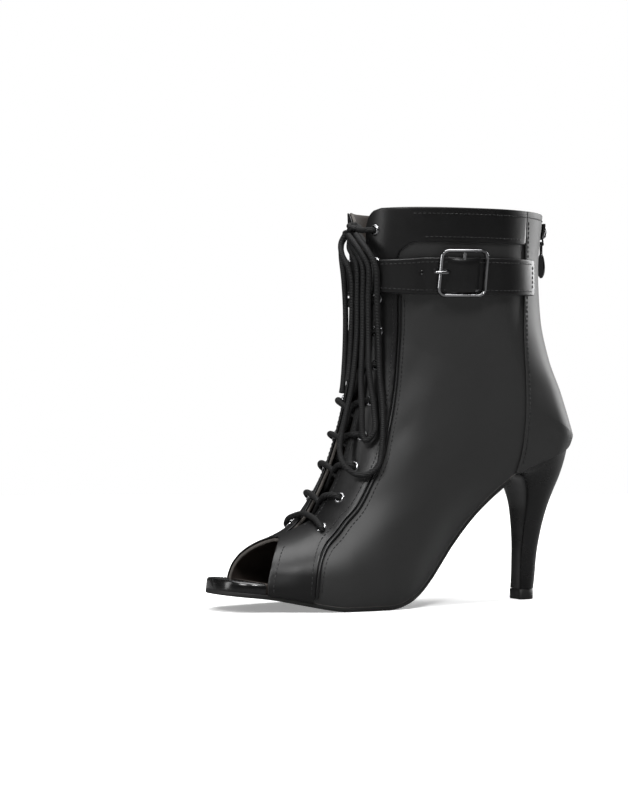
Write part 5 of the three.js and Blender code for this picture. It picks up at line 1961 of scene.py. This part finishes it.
@dataclass
class Sole:
    """Everything under the foot: outsole, insole with its lip, heel and top lift."""

    outsole: float = 2.2
    bevel: float = 0.8
    insole: float = 2.4
    lip: float = 5.6
    tip_long: float = 10.8
    tip_wide: float = 12.6
    lift_high: float = 5.6
    breast: float = -0.096 * SHOE_LENGTH

    def stations(self, start: float, end: float, inset: float, step: float = 1.6) -> Array:
        """Gives places along the sole, closer together at its round ends.

        Args:
            start: The first place.
            end: The last place.
            inset: How far the layer lies inside the outline.
            step: The distance between places.

        Returns:
            The places.
        """
        tip, back = FORM.toe_tip + inset, FORM.seat_back - inset
        share = np.array([0.0, 0.002, 0.008, 0.018, 0.035, 0.06, 0.1, 0.16, 0.24, 0.34, 0.46, 0.6, 0.75, 0.9])
        toe = tip + share * (FORM.toe_from - tip)
        seat = back - share * (back - FORM.seat_from)
        middle = np.arange(FORM.toe_from, FORM.seat_from, step)
        xs = np.sort(np.concatenate([toe, middle, seat]))
        xs = xs[(xs > start + 0.02) & (xs < end - 0.02)]
        return np.concatenate([[start], xs, [end]])

    def layer(self, xs: Array, low: Array, high: Array, inset: Array, rounding: float, bevel: float) -> Array:
        """Gives the rings of a sole layer.

        Args:
            xs: Places along the shoe.
            low: Lower offset from the seat line at each.
            high: Upper offset from the seat line at each.
            inset: Distance that the outline is drawn in at each.
            rounding: Radius of the upper edge.
            bevel: Width of the lower edge's bevel.

        Returns:
            One ring of points for each place.
        """
        rings = []
        for x, a, b, inside in zip(xs, low, high, inset):
            up = FORM.seat_up(np.array([x]))[0]
            base = FORM.seat_point(np.array([x]), np.array([0.0]))[0]
            halves = [FORM.sole_half(np.array([x]), np.array([outer]), inside)[0] for outer in (True, False)]
            reach = [max(float(half), 0.1) for half in halves]
            radius = min(rounding, min(reach) * 0.9, (b - a) * 0.48)
            corners = []
            for sign, half in ((-1, reach[0]), (1, reach[1])):
                cut = min(bevel, half * 0.5)
                side = [(half - cut, a), (half - cut * 0.3, a + cut * 0.35), (half, a + max(cut, 0.05))]
                turn = np.linspace(0, math.pi / 2, 6)
                low_y, low_z = half - radius, b - radius
                side += [(low_y + radius * math.cos(t), low_z + radius * math.sin(t)) for t in turn]
                flat = max(half - radius, 0.02)
                side += [(flat * k, b) for k in (0.66, 0.33)]
                corners.append([base + up * h + np.array([0, sign * y, 0]) for y, h in side])
            rings.append(corners[0] + corners[1][::-1])
        return np.array(rings)

    def build(self) -> None:
        """Makes all pieces under the foot."""
        self.build_outsole()
        self.build_insole()
        self.build_heel()

    def build_outsole(self) -> None:
        """Makes the thin outsole with its bevelled lower edge."""
        xs = self.stations(FORM.toe_tip + 0.05, self.breast - CLEARANCE, 0.0)
        ones = np.ones_like(xs)
        shape = Shape()
        low = -(self.outsole + CLEARANCE) * ones
        shape.add_rings(self.layer(xs, low, -0.12 * ones, 0 * ones, 0.35, self.bevel))
        make_piece("outsole_rubber", shape, [SOLE_RUBBER], ["outsole"], sharp=50)

    def build_insole(self) -> None:
        """Makes the covered lip in front and the insole behind it."""
        shoulder = PEEP_BASE - CLEARANCE - 1.4
        xs = self.stations(FORM.toe_tip + 0.05, shoulder, 0.0, 1.0)
        ones = np.ones_like(xs)
        lip = Shape()
        lip.add_rings(self.layer(xs, 0.0 * ones, self.lip * ones, 0 * ones, 2.3, 0.2))
        inset = WALL + 0.5
        bed = self.stations(shoulder - 1.0, FORM.seat_back - inset, inset)
        ends = [shoulder, -0.67 * SHOE_LENGTH, -0.58 * SHOE_LENGTH]
        thick = smooth_curve(ends, [self.lip - 0.1, self.lip - 0.1, self.insole])(bed)
        ones = np.ones_like(bed)
        lip.add_rings(self.layer(bed, 0.15 * ones, thick, inset * ones, 1.0, 0.1), mark=1)
        make_piece("insole_covered", lip, [LIP_LEATHER, LINING], ["insole"], sharp=50)
        thread = Shape()
        rim = self.stations(FORM.toe_tip + 2.6, shoulder - 0.5, 2.4, 0.7)
        for outer in (True, False):
            half = FORM.sole_half(rim, np.full(len(rim), outer), 2.4)
            point = FORM.seat_point(rim, np.full(len(rim), self.lip))
            point[:, 1] = half * (-1 if outer else 1)
            line = respaced(point, 0.5)
            stitch_row(thread, line, np.tile([0, 0, 1.0], (len(line), 1)), 2.2, 1.5, 0.2)
        make_piece("lip_stitches", thread, [THREAD])

    def ring(self, front: Array, back: Array, half: float, seat: bool = False) -> Array:
        """Gives a ring of the heel: flat and a little hollow in front, round behind.

        Args:
            front: Its front point.
            back: Its back point.
            half: Half its width.
            seat: Whether it lies on the seat.

        Returns:
            The ring's points.
        """
        profile = [(0.035, 0.0), (0.028, 0.28), (0.012, 0.55), (0.0, 0.80), (0.012, 0.885), (0.04, 0.94)]
        profile += [(0.10, 0.975), (0.2, 0.995), (0.32, 1.0)]
        power = 2 / (1.88 if seat else 2.05)
        for k in range(1, 15):
            angle = math.pi / 2 * k / 14
            profile.append((0.32 + 0.68 * math.sin(angle) ** power, max(math.cos(angle), 0) ** power))
        points = []
        for share, y in profile + [(s, -y) for s, y in profile[-2:0:-1]]:
            p = front + share * (back - front)
            z = float(FORM.seat_point(np.array([p[0]]), np.array([-0.3]))[0, 2]) if seat else p[2]
            points.append((p[0], -y * half, z))
        return np.array(points)

    def build_heel(self) -> None:
        """Makes the covered stiletto heel and its top lift."""
        rows = [
            (-0.0225, 0, 0.0265, 0, 0.505),
            (-0.0210, 0.10, 0.0310, 0.085, 0.485),
            (-0.0196, 0.24, 0.0363, 0.225, 0.500),
            (-0.0174, 0.38, 0.0455, 0.370, 0.620),
            (-0.0165, 0.53, 0.0590, 0.520, 0.850),
            (-0.0205, 0.645, 0.0755, 0.645, 1.090),
            (-0.0345, 0.735, 0.0950, 0.765, 1.360),
            (-0.0600, 0.775, 0.1085, 0.875, 1.620),
            (-0.0920, 0.775, 0.1190, 1, 1.860),
        ]
        low = self.lift_high + CLEARANCE
        rise = HEEL_HEIGHT - CLEARANCE - low
        curves = [smooth_curve(range(len(rows)), [row[k] for row in rows]) for k in range(5)]
        rings = []
        last = len(rows) - 1
        for step in np.concatenate([[0, 0.04, 0.1], np.linspace(0.25, last - 0.05, 58)]):
            fx, fz, bx, bz, half = [float(c(np.array([step]))[0]) for c in curves]
            front = np.array([fx * SHOE_LENGTH, 0, low + fz * rise])
            back = np.array([bx * SHOE_LENGTH, 0, low + bz * rise])
            rings.append(self.ring(front, back, half * self.tip_wide))
        front = np.array([rows[-1][0] * SHOE_LENGTH, 0, 0])
        back = np.array([rows[-1][2] * SHOE_LENGTH, 0, 0])
        rings.append(self.ring(front, back, rows[-1][4] * self.tip_wide, seat=True))
        shape = Shape()
        shape.add_rings(np.array(rings))
        make_piece("heel_covered", shape, [HEEL_LEATHER], ["heel"], sharp=48)
        lift = Shape()
        shoulders = [(0, 0.94), (0.35, 1.0), (self.lift_high - 0.35, 1.0), (self.lift_high + 0.05, 0.955)]
        rings = []
        for z, size in shoulders:
            front = np.array([(-self.tip_long / 2) * size + 0.2, 0, z])
            back = np.array([(self.tip_long / 2) * size + 0.2, 0, z])
            rings.append(self.ring(front, back, self.tip_wide / 2 * size))
        lift.add_rings(np.array(rings))
        make_piece("top_lift_rubber", lift, [SOLE_RUBBER], ["top_lift"], sharp=50)


@dataclass
class Studio:
    """The pale floor, the soft lights and the camera."""

    width: int = 628
    height: int = 800
    degrees: float = 25.0
    lens: float = 109.35
    reach: float = 1.5
    place: tuple[float, float, float] = (-0.6756, -1.1745, 0.1103)

    def add_light(
        self, name: str, place: tuple[float, float, float], size: tuple[float, float], power: float
    ) -> None:
        """Adds a soft light that looks at the boot.

        Args:
            name: The light's name.
            place: Its place in metres.
            size: Its width and height.
            power: Its power in watts.
        """
        data = bpy.data.lights.new(name, "AREA")
        data.shape = "RECTANGLE"
        data.size, data.size_y = size
        data.energy = power
        lamp = bpy.data.objects.new(name, data)
        lamp.location = place
        lamp.rotation_euler = (Vector((-0.06, 0, 0.1)) - Vector(place)).to_track_quat("-Z", "Y").to_euler()
        bpy.context.scene.collection.objects.link(lamp)

    def add_floor(self) -> None:
        """Adds the round white floor that the boot stands on."""
        rim = [2 * math.pi * k / 96 for k in range(96)]
        points = [(self.reach * math.cos(a), self.reach * math.sin(a), -0.0001) for a in rim]
        mesh = bpy.data.meshes.new("studio_floor")
        mesh.from_pydata(points, [], [tuple(range(len(points)))])
        paper = bpy.data.materials.new("white_paper")
        paper.use_nodes = True
        nodes, links = paper.node_tree.nodes, paper.node_tree.links
        shader = nodes["Principled BSDF"]
        shader.inputs["Base Color"].default_value = (0.93, 0.93, 0.93, 1)
        shader.inputs["Roughness"].default_value = 0.8
        shader.inputs["Specular IOR Level"].default_value = 0.0
        shader.inputs["Emission Color"].default_value = (1, 1, 1, 1)
        shader.inputs["Emission Strength"].default_value = 0.30
        dark = nodes.new("ShaderNodeBsdfDiffuse")
        dark.inputs["Color"].default_value = (0.16, 0.16, 0.16, 1)
        ray = nodes.new("ShaderNodeLightPath")
        mixed = nodes.new("ShaderNodeMixShader")
        links.new(ray.outputs["Is Glossy Ray"], mixed.inputs[0])
        links.new(shader.outputs["BSDF"], mixed.inputs[1])
        links.new(dark.outputs["BSDF"], mixed.inputs[2])
        links.new(mixed.outputs["Shader"], nodes["Material Output"].inputs["Surface"])
        mesh.materials.append(paper)
        floor = bpy.data.objects.new("studio_floor", mesh)
        bpy.context.scene.collection.objects.link(floor)

    def add_world(self) -> None:
        """Adds the air round the boot: plain white to look at, and dim as a light."""
        world = bpy.data.worlds.new("studio_air")
        world.use_nodes = True
        nodes, links = world.node_tree.nodes, world.node_tree.links
        seen = nodes["Background"]
        seen.inputs["Color"].default_value = (1, 1, 1, 1)
        seen.inputs["Strength"].default_value = 1.0
        dim = nodes.new("ShaderNodeBackground")
        dim.inputs["Color"].default_value = (1, 1, 1, 1)
        dim.inputs["Strength"].default_value = 0.05
        ray = nodes.new("ShaderNodeLightPath")
        mixed = nodes.new("ShaderNodeMixShader")
        links.new(ray.outputs["Is Camera Ray"], mixed.inputs[0])
        links.new(dim.outputs["Background"], mixed.inputs[1])
        links.new(seen.outputs["Background"], mixed.inputs[2])
        links.new(mixed.outputs["Shader"], nodes["World Output"].inputs["Surface"])
        bpy.context.scene.world = world

    def set_tones(self) -> None:
        """Shows tones as a product photograph does, with a plain white and deep blacks."""
        tones = bpy.context.scene.view_settings
        tones.view_transform = "Standard"
        tones.exposure = 0.0

    def add_camera(self) -> None:
        """Adds the camera at the photograph's angle."""
        data = bpy.data.cameras.new("studio_camera")
        data.sensor_width = 36.0
        data.lens = self.lens
        data.clip_end = 50.0
        camera = bpy.data.objects.new("studio_camera", data)
        camera.location = self.place
        camera.rotation_euler = (math.pi / 2, 0, -math.radians(self.degrees))
        bpy.context.scene.collection.objects.link(camera)
        bpy.context.scene.camera = camera

    def build(self) -> None:
        """Makes the whole studio."""
        self.set_tones()
        self.add_world()
        self.add_floor()
        self.add_light("key_light", (-1.2, -0.8, 1.2), (0.5, 0.5), 16.0)
        self.add_light("front_light", (-0.2, -1.0, 1.5), (0.35, 0.35), 16.0)
        self.add_light("top_light", (0.0, 0.2, 2.4), (2.2, 1.8), 70.0)
        self.add_light("left_strip", (-1.5, 0.3, 0.5), (0.3, 1.0), 5.0)
        self.add_light("right_strip", (1.35, 0.40, 0.45), (0.5, 1.0), 16.0)
        self.add_camera()


STRAP = AnkleStrap()


def main() -> None:
    """Builds the boot in its studio, in the maker's order."""
    logging.basicConfig(level=logging.INFO, format="%(name)s: %(message)s")
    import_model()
    Studio().build()
    Bow().build()
    Lacing().build()
    Upper().build()
    Facings().build()
    STRAP.build()
    Buckle().build()
    Zip().build()
    Eyelets().build()
    Sole().build()


if __name__ == "__main__":
    main()
